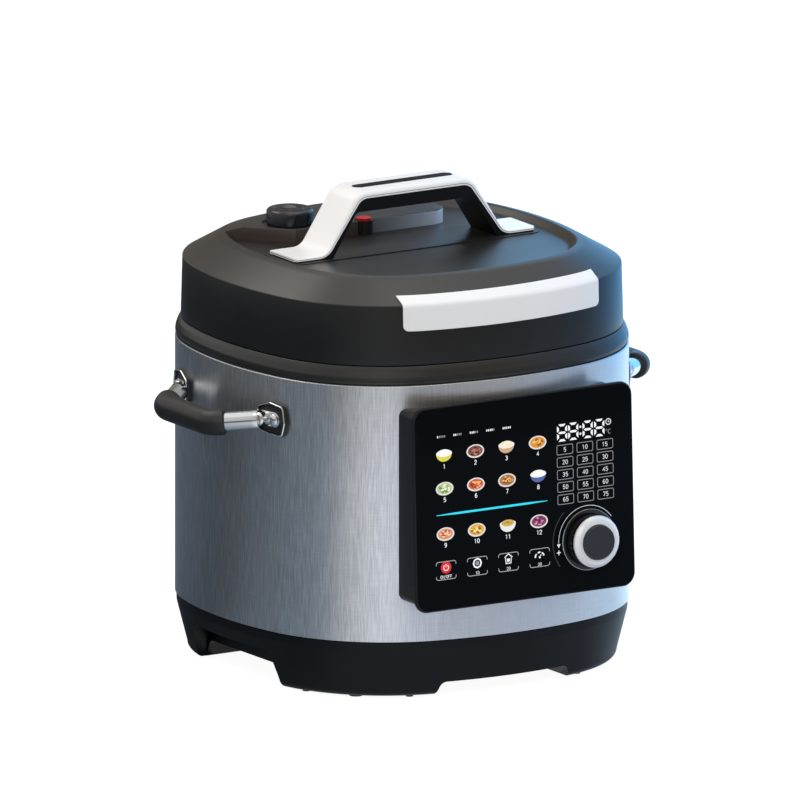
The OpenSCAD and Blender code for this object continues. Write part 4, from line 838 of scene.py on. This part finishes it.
# The plated rod is a little thicker and goes deeper into its neck than the bare bar
ROD_R, ROD_MORE = BAR_R + 0.4, 4.5
BOTH_ENDS = [(side, end) for side in (-1, 1) for end in (-1, 1)]


def on_handle(side):
    """Placing from a handle's own plane, which droops a little, to the frame."""
    def place(p):
        """Turned by the droop, then set on this side's wall."""
        x = p[..., 0] * np.cos(DROOP) + p[..., 2] * np.sin(DROOP)
        z = p[..., 2] * np.cos(DROOP) - p[..., 0] * np.sin(DROOP)
        return over_axis(np.stack([side * (x + BRACKET_X), p[..., 1], z + BRACKET_Z], -1))
    return place


def on_bracket(side, end):
    """Placing from a bracket's face, with X down, Y away from the handle's middle and Z out, to the
    frame."""
    def place(p):
        """Turned to the wall's normal at the bracket, then set on it."""
        out, along, up = p[..., 2], p[..., 1], -p[..., 0]
        x = out * np.cos(BRACKET_A) - along * np.sin(BRACKET_A)
        y = out * np.sin(BRACKET_A) + along * np.cos(BRACKET_A)
        return over_axis(np.stack([side * (x + BRACKET_X), end * (y + BRACKET_Y), up + BRACKET_Z], -1))
    return place


def handle_path(tail, steps=20):
    """Middle line of a handle: straight grip, a bend at each end, and a tail down each arm."""
    bend = arc([REACH - BAR_BEND, BAR_HALF], BAR_BEND, 0, np.degrees(BEND_A), steps)
    arms = np.array([BEND_X, BEND_Y]) - ARM * np.asarray(tail)[:, None]
    half = np.concatenate([bend, arms])
    both = np.concatenate([(half * [1, -1])[::-1], half])
    return lifted(both, 0.0)


def side_handles():
    """Chrome rod bent at both ends, with a soft sleeve over its grip and bends. Each end of the
    sleeve is rounded over by a quarter circle, and each end of the rod is a flattened dome."""
    arm_gap = (BAR_R + 3.2) / (np.cos(BRACKET_A) - np.tan(SPLAY) * np.sin(BRACKET_A))
    reach = (BEND_X - arm_gap) / ARM[0] + ROD_MORE
    dome = np.radians([15, 30, 45, 60, 75, 88])
    rod_tail = np.concatenate([np.linspace(1, reach, 8), reach + 0.35 * ROD_R * np.sin(dome)])
    rod_r = np.concatenate([np.full(8, ROD_R), ROD_R * np.cos(dome)])
    edge, sleeve_end = 1.8, 4.0
    over = np.radians([0, 22, 45, 67, 90])
    sleeve_tail = np.concatenate([[1.0], sleeve_end - edge + edge * np.sin(over), [sleeve_end + 0.02]])
    sleeve_r = np.concatenate([[SLEEVE_R], SLEEVE_R - edge + edge * np.cos(over), [ROD_R - 0.3]])
    rods, sleeves = [], []
    for side in (-1, 1):
        for out, tail, radii, sides in ((rods, rod_tail, rod_r, 48), (sleeves, sleeve_tail, sleeve_r, 64)):
            path = handle_path(tail)
            middle = np.full(len(path) - 2 * len(radii), max(radii))
            out.append(on_handle(side)(tube(path, np.concatenate([radii[::-1], middle, radii]), sides)))
    bars = skin("rod_shell", rods, chrome, "base", (True, True))
    stands_for(bars, "polished_steel", "handle_bars")
    cover = skin("sleeve_shell", sleeves, soft_black, "base", (True, True))
    stands_for(cover, "satin_black_plastic", "handle_sleeves")


def handle_ends():
    """Plated necks that hold the rods, each a short stepped drum, and under each neck a strap: a
    half circle on two straight sides, with a chamfered face."""
    neck = turned([[0.01, 1.6], [4.4, 1.6], [4.4, 8.0], [3.4, 9.4], [0.01, 9.8]], lambda p: p, 40)
    neck = neck + [0, -5.9, 0]
    half_w = 5.0
    outline = np.concatenate([arc([0, 3.2], half_w, 0, 180, 16), [[-half_w, -7.9], [half_w, -7.9]]])
    rows = [(0.0, 1.6), (0.0, 2.9), (0.3, 3.2)]
    strap = np.array([lifted(outline * (1 - inset / half_w), z) for inset, z in rows])
    for name, grid in (("neck_shell", neck), ("strap_shell", strap)):
        placed = [on_bracket(side, end)(grid) for side, end in BOTH_ENDS]
        stands_for(skin(name, placed, chrome, "base", (True, True)), "polished_steel")


# Size of a bracket's shield, and its corners in shares of that size
SHIELD_W, SHIELD_H = 23, 27
SHIELD = np.array([[-0.30, -0.49], [0.36, -0.42], [0.45, -0.10], [0.48, 0.39],
                   [0.07, 0.49], [-0.42, 0.42], [-0.5, -0.03]])


def shield(inset):
    """Shield outline of a bracket, drawn in by inset, with every corner rounded."""
    return ring_fillet(SHIELD * [SHIELD_W - 2 * inset, SHIELD_H - 2 * inset], 3.0, 5)


def brackets():
    """Shield with a black body, a sunk floor and a thin plated ridge: each is a section of insets
    and heights carried along the shield's outline."""
    ridge = [(0.05, 2.3), (0.1, 2.8), (0.4, 3.15), (0.8, 3.15), (1.1, 2.8), (1.15, 2.3)]
    body = [(0.0, -2.0), (0.0, 2.5), (1.2, 2.5), (1.7, 1.65)]
    shells = []
    for rows in (ridge, body):
        grid = np.array([lifted(shield(inset), z) for inset, z in rows])
        shells.append([on_bracket(side, end)(grid) for side, end in BOTH_ENDS])
    rim = skin("bracket_ridge", shells[0], chrome, "base", close_rows=True)
    stands_for(rim, "polished_steel", "handle_brackets")
    sunk = skin("bracket_body", shells[1], panel_body, "base", (True, True))
    stands_for(sunk, "satin_black_plastic")


side_handles()
handle_ends()
brackets()

# ---------------------------------------------------------------- Control panel

# Panel and its corners, the window's thickness and what it has more at the right, the lean
PANEL_W, PANEL_H, PANEL_R = 167.0, 137.0, 9.0
PLATE_T, PLATE_MORE = 3.0, 2.2
TILT = np.radians(2)
# Middle of the panel's face, the dial's place on it, and the radii of the dial and its bore
PANEL_Y, PANEL_Z = 151.2, 133.0
DIAL_X, DIAL_UP = 49.4, -33.5
DIAL_R, BORE_R, DIAL_STEPS = 17.3, 11.9, 128


def on_panel(p):
    """From the panel's face, with X right, Y up and Z out of it, to the frame."""
    p = np.asarray(p, float)
    y = -PANEL_Y + p[..., 1] * np.sin(TILT) - p[..., 2] * np.cos(TILT)
    z = PANEL_Z + p[..., 1] * np.cos(TILT) + p[..., 2] * np.sin(TILT)
    return over_axis(np.stack([p[..., 0], y, z], -1))


def on_dial(p):
    """From the dial's own axis to the frame."""
    return on_panel(p + [DIAL_X, DIAL_UP, 0])


def body_front(x):
    """How far the body's wall stands out in front of its axis at a place across it."""
    x = np.abs(x)
    return np.where(x < FLANK_END, np.sqrt(FLANK_R**2 - np.minimum(x, FLANK_END) ** 2) + FLANK_C,
                    np.sqrt(CORNER_R**2 - (x - CORNER_C) ** 2) + CORNER_C)


def panel():
    """Acrylic window with a pillowed edge, a dark groove behind it, and a housing whose sections
    are the window's outline drawn in, and whose back follows the body's wall."""
    window = rounded(PANEL_W + PLATE_MORE, PANEL_H, PANEL_R, 10) + [PLATE_MORE / 2, 0]
    plate = prism("panel_plate", window, PLATE_T, on_panel, panel_gloss, "base",
                  edge=1.5, steps=5, back_edge=0.4, sharp=60)
    middle_at = on_panel([0, 0, 0])
    out = on_panel([0, 0, 1]) - middle_at
    # Partly painted highlight: the rim's faces take the lighter grey
    second(plate, panel_rim_highlight, lambda normal, middle: normal @ Vector(out) < 0.985)
    stands_for(plate, "panel_gloss", "front_plate")
    rows = []
    for inset, depth in ((6.4, 2.9), (6.4, 5.3), (4.4, 5.35), (3.8, 5.7), (3.6, 6.3)):
        outline = rounded(PANEL_W - 2 * inset, PANEL_H - 2 * inset, max(PANEL_R - inset, 4), 10)
        rows.append(on_panel(lifted(outline, -depth)))
    last = rows[-1].copy()
    last[:, 1] = AXIS_Y - body_front(last[:, 0]) + 0.8
    rows.append(last)
    body = skin("panel_shell", np.array(rows)[::-1], panel_body, "base", sharp=50)
    # Painted shade: the housing's faces in the groove behind the window take the near-black
    second(body, pit_painted_shade, lambda normal, middle: (np.array(middle) - middle_at) @ out > -5.45)
    stands_for(body, "satin_black_plastic", "panel_housing")


def dial():
    """Rotary dial: a black foot with a thin bright line, a dark barrel, a white ring with a sloped
    rim, and a push button with a dished face. Each is a profile turned about the dial's axis."""
    def round_piece(name, profile, material, body, slot, *names, caps=(False, False)):
        """One turned piece, a ring where it has no caps."""
        grid = turned(profile, on_dial, DIAL_STEPS)
        stands_for(skin(name, grid, material, body, caps, close_rows=not any(caps)), slot, *names)

    foot = fillet([[17.6, 0.05], [20.3, 0.05], [20.3, 1.0], [19.5, 1.6], [17.6, 1.6]], [0.05, 0.3, 0.3], 4)
    round_piece("dial_foot_ring", foot, foot_metal, "base", "polished_steel", "dial_foot")
    round_piece("dial_foot_line", arc([20.15, 1.1], 0.28, 0, 315, 7), chrome, "base", "polished_steel")
    top = 9.8
    barrel = fillet([[3.2, 0.3], [DIAL_R, 0.3], [DIAL_R, top], [BORE_R, top], [BORE_R, 4.8], [3.2, 4.8]],
                    [0.3, 0.3, 0.1, 0.1], 4)
    round_piece("dial_barrel_shell", barrel, barrel_black, "dial", "satin_black_plastic", "dial_barrel")
    ring = fillet([[BORE_R, top], [DIAL_R, top], [DIAL_R, 11.1], [15.0, 13.0], [BORE_R, 13.0]],
                  [0.1, 0.7, 0.9, 0.5], 6)
    round_piece("dial_ring_shell", ring, ring_metal, "dial", "white_plastic", "dial_ring")
    button = fillet([[0.01, 6.2], [11.6, 6.2], [11.6, 15.6], [10.0, 15.6], [0.01, 15.0]], [0.1, 1.1, 1.5], 8)
    round_piece("dial_button_shell", button, button_black, "button", "satin_black_plastic", "dial_button",
                caps=(True, True))


panel()
dial()

# ---------------------------------------------------------------- Print on the panel

# Points and faces kept so far for each colour of ink
prints = {}


def ink(tint, outlines, height=0.04):
    """Keeps flat printed shapes, each an outline in the panel's face, for one colour of ink."""
    kept = prints.setdefault(tint, ([], []))
    for outline in outlines:
        start = len(kept[0])
        kept[0].extend(lifted(outline, height).tolist())
        kept[1].append(list(range(start, start + len(outline))))


def line(tint, points, width, closed=False, height=0.04):
    """Keeps a printed line of even width: its two sides lie half the width off the middle line,
    along the mean of the normals of the pieces that meet there."""
    points = np.asarray(points, float)
    if closed:
        before, after = points - np.roll(points, 1, 0), np.roll(points, -1, 0) - points
    else:
        before = np.diff(points, axis=0, prepend=[2 * points[0] - points[1]])
        after = np.diff(points, axis=0, append=[2 * points[-1] - points[-2]])
    before = before / np.linalg.norm(before, axis=1)[:, None]
    after = after / np.linalg.norm(after, axis=1)[:, None]
    step = before + after
    step /= np.maximum(np.linalg.norm(step, axis=1)[:, None], 1e-6)
    side = np.column_stack([-step[:, 1], step[:, 0]])
    mitre = 1 / np.maximum(np.abs((step * after).sum(1)), 0.6)
    off = side * (width / 2 * mitre)[:, None]
    left, right = points + off, points - off
    pieces = np.stack([right, np.roll(right, -1, 0), np.roll(left, -1, 0), left], 1)
    ink(tint, pieces if closed else pieces[:-1], height)


def oval(x, y, rx, ry, steps=40, start=0, end=360):
    """Points of an ellipse."""
    a = np.radians(np.linspace(start, end, steps, endpoint=end - start < 360))
    return np.column_stack([x + rx * np.cos(a), y + ry * np.sin(a)])


def stroke(pairs):
    """Open stroke of a figure, from its x y pairs in hundredths of the figure's height."""
    return np.array(pairs.split(), float).reshape(-1, 2) / 100, False


# Strokes of plain figures in a box 0.6 wide and 1 high, each with whether it is a closed loop
FIGURES = {
    "0": [(oval(0.3, 0.5, 0.29, 0.5, 20), True)],
    "1": [stroke("10 78 34 100 34 0")],
    "2": [stroke("3 76 12 93 30 100 48 93 56 74 48 52 2 0 60 0")],
    "3": [stroke("3 88 26 100 50 90 53 70 40 55 22 53"), stroke("22 53 47 48 58 27 48 7 25 0 2 13")],
    "4": [stroke("45 0 45 100 0 30 62 30")],
    "5": [stroke("55 100 10 100 6 54 30 63 52 53 58 30 48 7 25 0 2 10")],
    "6": [stroke("52 92 30 100 10 80 3 40 10 10 30 0 52 10 57 32 48 54 28 60 6 46")],
    "7": [stroke("0 100 60 100 22 0")],
    "8": [(oval(0.3, 0.76, 0.22, 0.24, 14), True), (oval(0.3, 0.27, 0.28, 0.27, 14), True)],
    "9": [stroke("8 8 30 0 50 20 57 60 50 90 30 100 8 90 3 68 12 46 32 40 54 54")],
    "O": [(oval(0.32, 0.5, 0.32, 0.5, 20), True)],
    "N": [stroke("5 0 5 100 58 0 58 100")],
    "F": [stroke("8 0 8 100 58 100"), stroke("8 53 50 53")],
    "/": [stroke("2 -8 42 108")],
}


def figures(text, x, y, high, width, tint="#f4f4f4", pitch=0.84):
    """Prints plain figures in a row centred on a place, a pitch of their height apart."""
    x0 = x - ((len(text) - 1) * pitch + 0.6) * high / 2
    for i, letter in enumerate(text):
        place = np.array([x0 + i * pitch * high, y - high / 2])
        for path, closed in FIGURES[letter]:
            line(tint, path * high + place, width, closed)


# Inks, and the columns and rows in which the dish marks stand, from the panel's middle
WHITE, PALE, GREY, CYAN, RED = "#f6f6f6", "#d9d9d9", "#8f8f8d", "#1fd9ea", "#d8141c"
COLUMNS = [-60.2, -36.1, -12.1, 12.0]
DISH_ROWS = [35.6, 13.3, -17.1]


def display():
    """Four seven-segment figures with a colon, a clock mark and a degree mark. Each segment is a
    bar with slanted ends, longer on its outer side."""
    w, h, t = 7.8, 11.6, 1.5
    cut, mid, half_t = 1.1, 39.9, 0.75
    for cx in (31.0, 39.6, 50.7, 59.7):
        x0, x1, y0, y1 = cx - w / 2, cx + w / 2, mid - h / 2, mid + h / 2
        ink(WHITE, [
            [[x0 + cut, y1], [x1 - cut, y1], [x1 - cut - t, y1 - t], [x0 + cut + t, y1 - t]],
            [[x0 + cut + t, y0 + t], [x1 - cut - t, y0 + t], [x1 - cut, y0], [x0 + cut, y0]],
            [[x0 + 1.0, mid], [x0 + 2.0, mid + half_t], [x1 - 2.0, mid + half_t], [x1 - 1.0, mid],
             [x1 - 2.0, mid - half_t], [x0 + 2.0, mid - half_t]]])
        for x, s in ((x0, 1), (x1, -1)):
            for lo, hi in ((mid + 0.5, y1 - cut), (y0 + cut, mid - 0.5)):
                low, high = lo + (t if lo < mid else 0.9), hi - (0.9 if hi < mid else t)
                tall = [[x, lo], [x + s * t, low], [x + s * t, high], [x, hi]]
                ink(WHITE, [tall if s < 0 else tall[::-1]])
    for y in (37.6, 42.2):
        ink(WHITE, [oval(45.1, y, 0.75, 0.75, 16)])
    line(WHITE, oval(66.7, 43.2, 1.9, 1.9, 28), 0.5, True)
    line(WHITE, [[66.7, 44.4], [66.7, 43.1], [67.6, 43.1]], 0.4)
    line(GREY, oval(65.2, 37.8, 0.45, 0.45, 14), 0.3, True)
    line(GREY, oval(67.5, 36.6, 1.0, 1.4, 20, 50, 310), 0.45)


def keys():
    """Fifteen outlined keys in three columns, with plain numbers in steps of five."""
    box = rounded(12.2, 6.3, 0.9, 4)
    for row in range(5):
        for col in range(3):
            x, y = 32.9 + 15.4 * col, 28.5 - 8.32 * row
            line(GREY, box + [x, y], 0.42, True)
            figures(str(5 * (3 * row + col + 1)), x, y, 2.7, 0.42, PALE)


def touch_keys():
    """Four touch keys between pairs of brackets: a red power key and three white marks."""
    for i, x in enumerate(COLUMNS):
        y, w, h, r, leg = -41.4, 7.6, 6.0, 1.6, 2.4
        for s in (1, -1):
            path = fillet([[-w, s * (h - leg)], [-w, s * h], [w, s * h], [w, s * (h - leg)]], [r, r], 5)
            line("#a9a9a8", path + [x, y], 0.45)
        cy = -39.4
        if i == 0:
            ink(RED, [oval(x, cy, 4.0, 4.0)], 0.05)
            line(WHITE, oval(x, cy - 0.1, 1.9, 1.9, 24, 125, 415), 0.55, height=0.07)
            line(WHITE, [[x, cy + 0.2], [x, cy + 2.3]], 0.55, height=0.07)
            figures("ON/OFF", x, -45.6, 1.9, 0.32, "#e8e8e8", 0.8)
        else:
            figures(str(10 * i), x, -45.8, 1.9, 0.34, PALE)
        if i == 1:
            line(WHITE, oval(x, cy, 3.0, 3.0, 8, 0, 360), 1.0, True)
            ink(GREY, [oval(x, cy, 1.5, 1.5, 24)])
        if i == 2:
            pot = [[x - 2.2, cy + 0.7], [x - 1.9, cy - 2.9], [x + 1.9, cy - 2.9], [x + 2.2, cy + 0.7]]
            line(WHITE, pot, 0.6)
            line(WHITE, [[x - 3.0, cy + 1.0], [x, cy + 3.4], [x + 3.0, cy + 1.0]], 0.6)
            ink(WHITE, [[[x - 1.0, cy - 1.8], [x + 1.0, cy - 1.8], [x + 1.2, cy + 0.2], [x - 1.2, cy + 0.2]]])
        if i == 3:
            for start, end in ((15, 60), (80, 115), (135, 180)):
                line(WHITE, oval(x, cy - 1.8, 3.4, 3.4, 10, start, end), 1.0)
            line(WHITE, [[x, cy - 1.8], [x + 1.2, cy + 0.1]], 0.5)
            ink(WHITE, [oval(x, cy - 1.8, 0.7, 0.7, 14)])


def dishes():
    """Twelve plain dish marks. A plate is a white oval with an oval of food inside it and a scatter
    of lighter and darker pieces; a bowl is a half oval under a mound. All are numbered."""
    rng = np.random.default_rng(12)
    shades = [
        ("bowl", "#d9cf3c", "#f4f3ee", "#ffffff"), ("plate", "#74402f", "#b0705c", "#3a1c14"),
        ("bowl", "#c9a27a", "#ece0c2", "#f6efdc"), ("plate", "#d98a20", "#f6c860", "#9a4e12"),
        ("plate", "#b4bf86", "#4f8f2e", "#f0e4d4"), ("plate", "#cc5a20", "#f4b070", "#8a2a10"),
        ("plate", "#a8682c", "#7a2a18", "#ecc070"), ("bowl", "#4a5a9c", "#f1f1f0", "#ffffff"),
        ("plate", "#d88a60", "#b4341a", "#f8d8b8"), ("plate", "#dca62c", "#fae08c", "#94560f"),
        ("bowl", "#e4e2de", "#d2a64c", "#8f8a3c"), ("plate", "#7e2c50", "#c880a4", "#481430"),
    ]
    for i, (form, base, light, dark) in enumerate(shades):
        x, y = COLUMNS[i % 4], DISH_ROWS[i // 4]
        figures(str(i + 1), x, y - 7.4, 2.7, 0.45)
        if form == "plate":
            ink("#dcdad4", [oval(x, y, 6.8, 4.5)], 0.04)
            ink(base, [oval(x, y + 0.1, 5.7, 3.6)], 0.06)
            for j in range(22):
                a, r = rng.uniform(0, 2 * np.pi), np.sqrt(rng.uniform(0, 0.8))
                size = rng.uniform(0.5, 1.05)
                at = oval(x + 4.5 * r * np.cos(a), y + 0.1 + 2.7 * r * np.sin(a), size * 1.25, size * 0.8, 9)
                ink(light if j % 2 else dark, [at], 0.08 + 0.002 * j)
        else:
            half = oval(x, y + 1.2, 6.0, 5.4, 24, 180, 360)
            ink(base, [np.concatenate([half, [[x + 6.0, y + 1.2]]])], 0.04)
            ink("#f1efe9", [oval(x, y + 1.3, 6.1, 2.3)], 0.06)
            ink(light, [oval(x, y + 1.7, 5.0, 2.3)], 0.08)
            for j in range(7):
                a, r = rng.uniform(0, 2 * np.pi), np.sqrt(rng.uniform(0, 0.7))
                at = oval(x + 3.8 * r * np.cos(a), y + 2.0 + 1.4 * r * np.sin(a), 0.8, 0.45, 8)
                ink(dark, [at], 0.1 + 0.002 * j)


def marks():
    """Status marks along the top, the glowing line, and the ring of print around the dial."""
    for i in range(5):
        x = -62.2 + 12.65 * i
        for j in range(5):
            ink(WHITE if j <= i else GREY, [rounded(0.8, 1.5, 0.3, 2) + [x + 1.35 * (j - 2), 48.3]])
    ends, mid = np.linspace(0, 1, 30), -4.1
    y = 0.72 * np.minimum(1, np.minimum(ends, 1 - ends) * 4 + 0.28)
    x = -66.8 + 85.6 * ends
    ink(CYAN, [np.concatenate([np.column_stack([x, mid - y]), np.column_stack([x, mid + y])[::-1]])])
    for r, start, end, width, tint in ((22.6, 36, 181, 0.42, "#c9c9c9"), (27.0, 132, 216, 0.7, "#25282b")):
        line(tint, oval(DIAL_X, DIAL_UP, r, r, 60, start, end), width)
    tip = np.array([DIAL_X - 22.6, DIAL_UP - 3.4])
    ink(WHITE, [[tip, tip + [1.3, 2.6], tip + [-1.3, 2.6]]])
    low = tip - [0, 3.1]
    line(WHITE, [low - [1.5, 0], low + [1.5, 0]], 0.6)
    line(WHITE, [low - [0, 1.6], low + [0, 1.6]], 0.6)


def screen_ink_painted_glow(number, tint):
    """Opaque screen ink: matt, with a little painted glow of its own that makes it brighter than the light on
    it.
    """
    material, tree, shader, place = finish_of("ink_%02d" % number, Base_Color=linear(tint), Roughness=0.5)
    # Painted glow: the ink emits a little light of its own colour
    shader.inputs["Emission Color"].default_value = linear(tint)
    shader.inputs["Emission Strength"].default_value = 0.35
    grain = add(tree, "TexNoise", Vector=place, Scale=2500.0, Detail=1.0)
    bump = add(tree, "Bump", Height=grain.outputs["Fac"], Distance=0.004 * MM, Strength=0.3)
    tree.links.new(bump.outputs["Normal"], shader.inputs["Normal"])
    return material


display()
keys()
touch_keys()
dishes()
marks()
for number, (tint, (verts, faces)) in enumerate(prints.items()):
    link("print_%02d" % number, on_panel(np.array(verts)), faces, screen_ink_painted_glow(number, tint), "base")

# ---------------------------------------------------------------- Camera, floor and light

def aim(obj, place, right, back):
    """Puts an object at a place with its X to the right and its Z pointing back from its target."""
    turn_to = np.column_stack([right, np.cross(back, right), back, place])
    obj.matrix_world = Matrix([*turn_to.tolist(), [0, 0, 0, 1]])


def camera():
    """Parallel product view from the object's front left, a little from above."""
    azimuth, elevation = np.radians(-31.7), np.radians(12.83)
    level = np.cos(elevation)
    back = np.array([np.sin(azimuth) * level, -np.cos(azimuth) * level, np.sin(elevation)])
    right = np.array([np.cos(azimuth), np.sin(azimuth), 0])
    target = np.array([0, AXIS_Y, 169.6]) * MM - right * 1.31 * MM
    data = bpy.data.cameras.new("camera")
    data.type = "ORTHO"
    data.ortho_scale = 0.52524
    data.clip_end = 20
    obj = shown("camera", data)
    aim(obj, target + back * 3, right, back)
    bpy.context.scene.camera = obj


def seen_by(tree, *rays):
    """One where a ray of any of these kinds looks, nought elsewhere."""
    path = add(tree, "LightPath")
    out = path.outputs[rays[0]]
    for ray in rays[1:]:
        out = add(tree, "Math", {"operation": "MAXIMUM"}, _0=out, _1=path.outputs[ray]).outputs["Value"]
    return out


def floor():
    """White paper that keeps the object's soft shadow: to the camera its own white and a share of
    the light on it add up to white, and metal sees it as plain white."""
    material, tree = bare("floor_paper")
    paper = add(tree, "BsdfDiffuse", Color=linear("#a0a0a0")).outputs["BSDF"]
    share = add(tree, "BsdfDiffuse", Color=(0.22, 0.22, 0.22, 1)).outputs["BSDF"]
    glow = add(tree, "Emission", Strength=0.94).outputs["Emission"]
    white = add(tree, "Emission", Strength=1.0).outputs["Emission"]
    sum_of = add(tree, "AddShader", _0=share, _1=glow).outputs["Shader"]
    in_metal = seen_by(tree, "Is Glossy Ray", "Is Transmission Ray")
    mirrored = add(tree, "MixShader", Fac=in_metal, _1=paper, _2=white).outputs["Shader"]
    out = add(tree, "MixShader", Fac=seen_by(tree, "Is Camera Ray"), _1=mirrored, _2=sum_of)
    add(tree, "OutputMaterial", Surface=out.outputs["Shader"])
    size = 6000
    corners = [[-size, -size, 0], [size, -size, 0], [size, size, 0], [-size, size, 0]]
    obj = link("floor", corners, [[0, 1, 2, 3]], material, None)


# Inner and outer radius of the ring of boards on the table
BOARDS_IN, BOARDS_R = 125, 400


def reflectors(name, low, high, strength, stops):
    """Ring of studio boards around the object that only reflections see, from one height to
    another. The lowest ring also lies on the table. Each stop is a bearing in degrees, from the
    right by way of the back, and the board's colour there."""
    material, tree = bare(name)
    place = add(tree, "SeparateXYZ", Vector=add(tree, "TexCoord").outputs["Object"])
    bearing = add(tree, "Math", {"operation": "ARCTAN2"}, _0=place.outputs["Y"], _1=place.outputs["X"])
    part = add(tree, "Math", {"operation": "DIVIDE"}, _0=bearing.outputs["Value"], _1=2 * np.pi)
    whole = add(tree, "Math", {"operation": "FRACT"}, _0=part.outputs["Value"])
    ramp = add(tree, "ValToRGB", Fac=whole.outputs["Value"])
    bands = ramp.color_ramp.elements
    bands[0].position, bands[0].color = stops[0][0] / 360, linear(stops[0][1])
    bands[1].position, bands[1].color = stops[-1][0] / 360, linear(stops[-1][1])
    for bearing_at, tint in stops[1:-1]:
        bands.new(bearing_at / 360).color = linear(tint)
    glow = add(tree, "Emission", Color=ramp.outputs["Color"], Strength=strength)
    add(tree, "OutputMaterial", Surface=glow.outputs["Emission"])
    on_table = [[BOARDS_IN, low]] if low < 10 else []
    obj = skin(name, turned(on_table + [[BOARDS_R, low], [BOARDS_R, high]], over_axis), material, None)
    obj.visible_camera = obj.visible_diffuse = obj.visible_shadow = obj.visible_transmission = False


def lamp(name, place, target, size, power, tint):
    """Rectangular soft box at a place, in metres, facing its target."""
    data = bpy.data.lights.new(name, "AREA")
    data.shape = "RECTANGLE"
    data.size, data.size_y = size
    data.energy = power
    data.color = linear(tint)[:3]
    back = np.array(place, float) - target
    back /= np.linalg.norm(back)
    right = np.cross([0, 0, 1], back)
    aim(shown(name, data), place, right / np.linalg.norm(right), back)


def sky():
    """Even white: at full strength to the camera and in metal, lower as light on the object."""
    world = bpy.data.worlds.new("studio")
    bpy.context.scene.world = world
    world.use_nodes = True
    tree = world.node_tree
    seen = seen_by(tree, "Is Camera Ray", "Is Glossy Ray", "Is Transmission Ray")
    strength = add(tree, "MapRange", Value=seen, To_Min=0.4, To_Max=1.0)
    tree.nodes["Background"].inputs["Color"].default_value = (1, 1, 1, 1)
    tree.links.new(strength.outputs["Result"], tree.nodes["Background"].inputs["Strength"])


camera()
floor()
sky()
reflectors("low_boards", 2, 150, 1.55, [
    (0, "#c4e0f2"), (20, "#d9f0fb"), (36, "#aec4d4"), (50, "#76828c"), (62, "#606974"), (90, "#525e6e"),
    (120, "#4a535f"), (134, "#3f464e"), (146, "#454a50"), (157, "#5a626a"), (175, "#68737d"),
    (193, "#727f89"), (205, "#90979e"), (216, "#babdc0"), (235, "#c6cad4"), (255, "#bec3d0"),
    (275, "#aab0bb"), (300, "#a3aebf"), (325, "#b2c2d6"), (345, "#b4cade"), (360, "#c4e0f2")])
reflectors("high_boards", 230, 550, 2.2, [
    (0, "#6aaee6"), (28, "#7ab8ec"), (48, "#80b6e2"), (55, "#57524c"), (90, "#615b52"), (130, "#9f9fa0"),
    (190, "#a0a0a2"), (230, "#757471"), (290, "#867b6a"), (325, "#6f87a4"), (360, "#6aaee6")])
reflectors("mid_boards", 150, 230, 2.2, [
    (0, "#6aaee6"), (28, "#7ab8ec"), (48, "#80b6e2"), (55, "#3c3a38"), (120, "#2c2e30"), (200, "#3a3c3e"),
    (230, "#70706f"), (290, "#6c675f"), (325, "#6f87a4"), (360, "#6aaee6")])
lamp("top_box", (-0.6, 0.8, 1.15), (0, 0, 0.25), (1.0, 0.9), 7, "#fff8f0")
lamp("over_box", (0.2, -0.2, 1.8), (0, 0, 0.2), (1.2, 1.2), 6, "#ffffff")
lamp("key_box", (-1.3, -2.0, 1.3), (0, 0, 0.15), (1.4, 1.4), 25, "#fffdfa")
lamp("rim_box", (1.9, 0.4, 0.7), (0, 0, 0.2), (0.7, 1.2), 16, "#a0ccff")
lamp("low_rim_box", (1.2, 1.0, 0.5), (0, 0, 0.27), (0.7, 0.4), 16, "#9ac4f2")
lamp("side_box", (1.6, -1.1, 0.9), (0, 0, 0.2), (0.9, 0.9), 9, "#c8dcf5")
bpy.context.scene.view_settings.view_transform = "Standard"
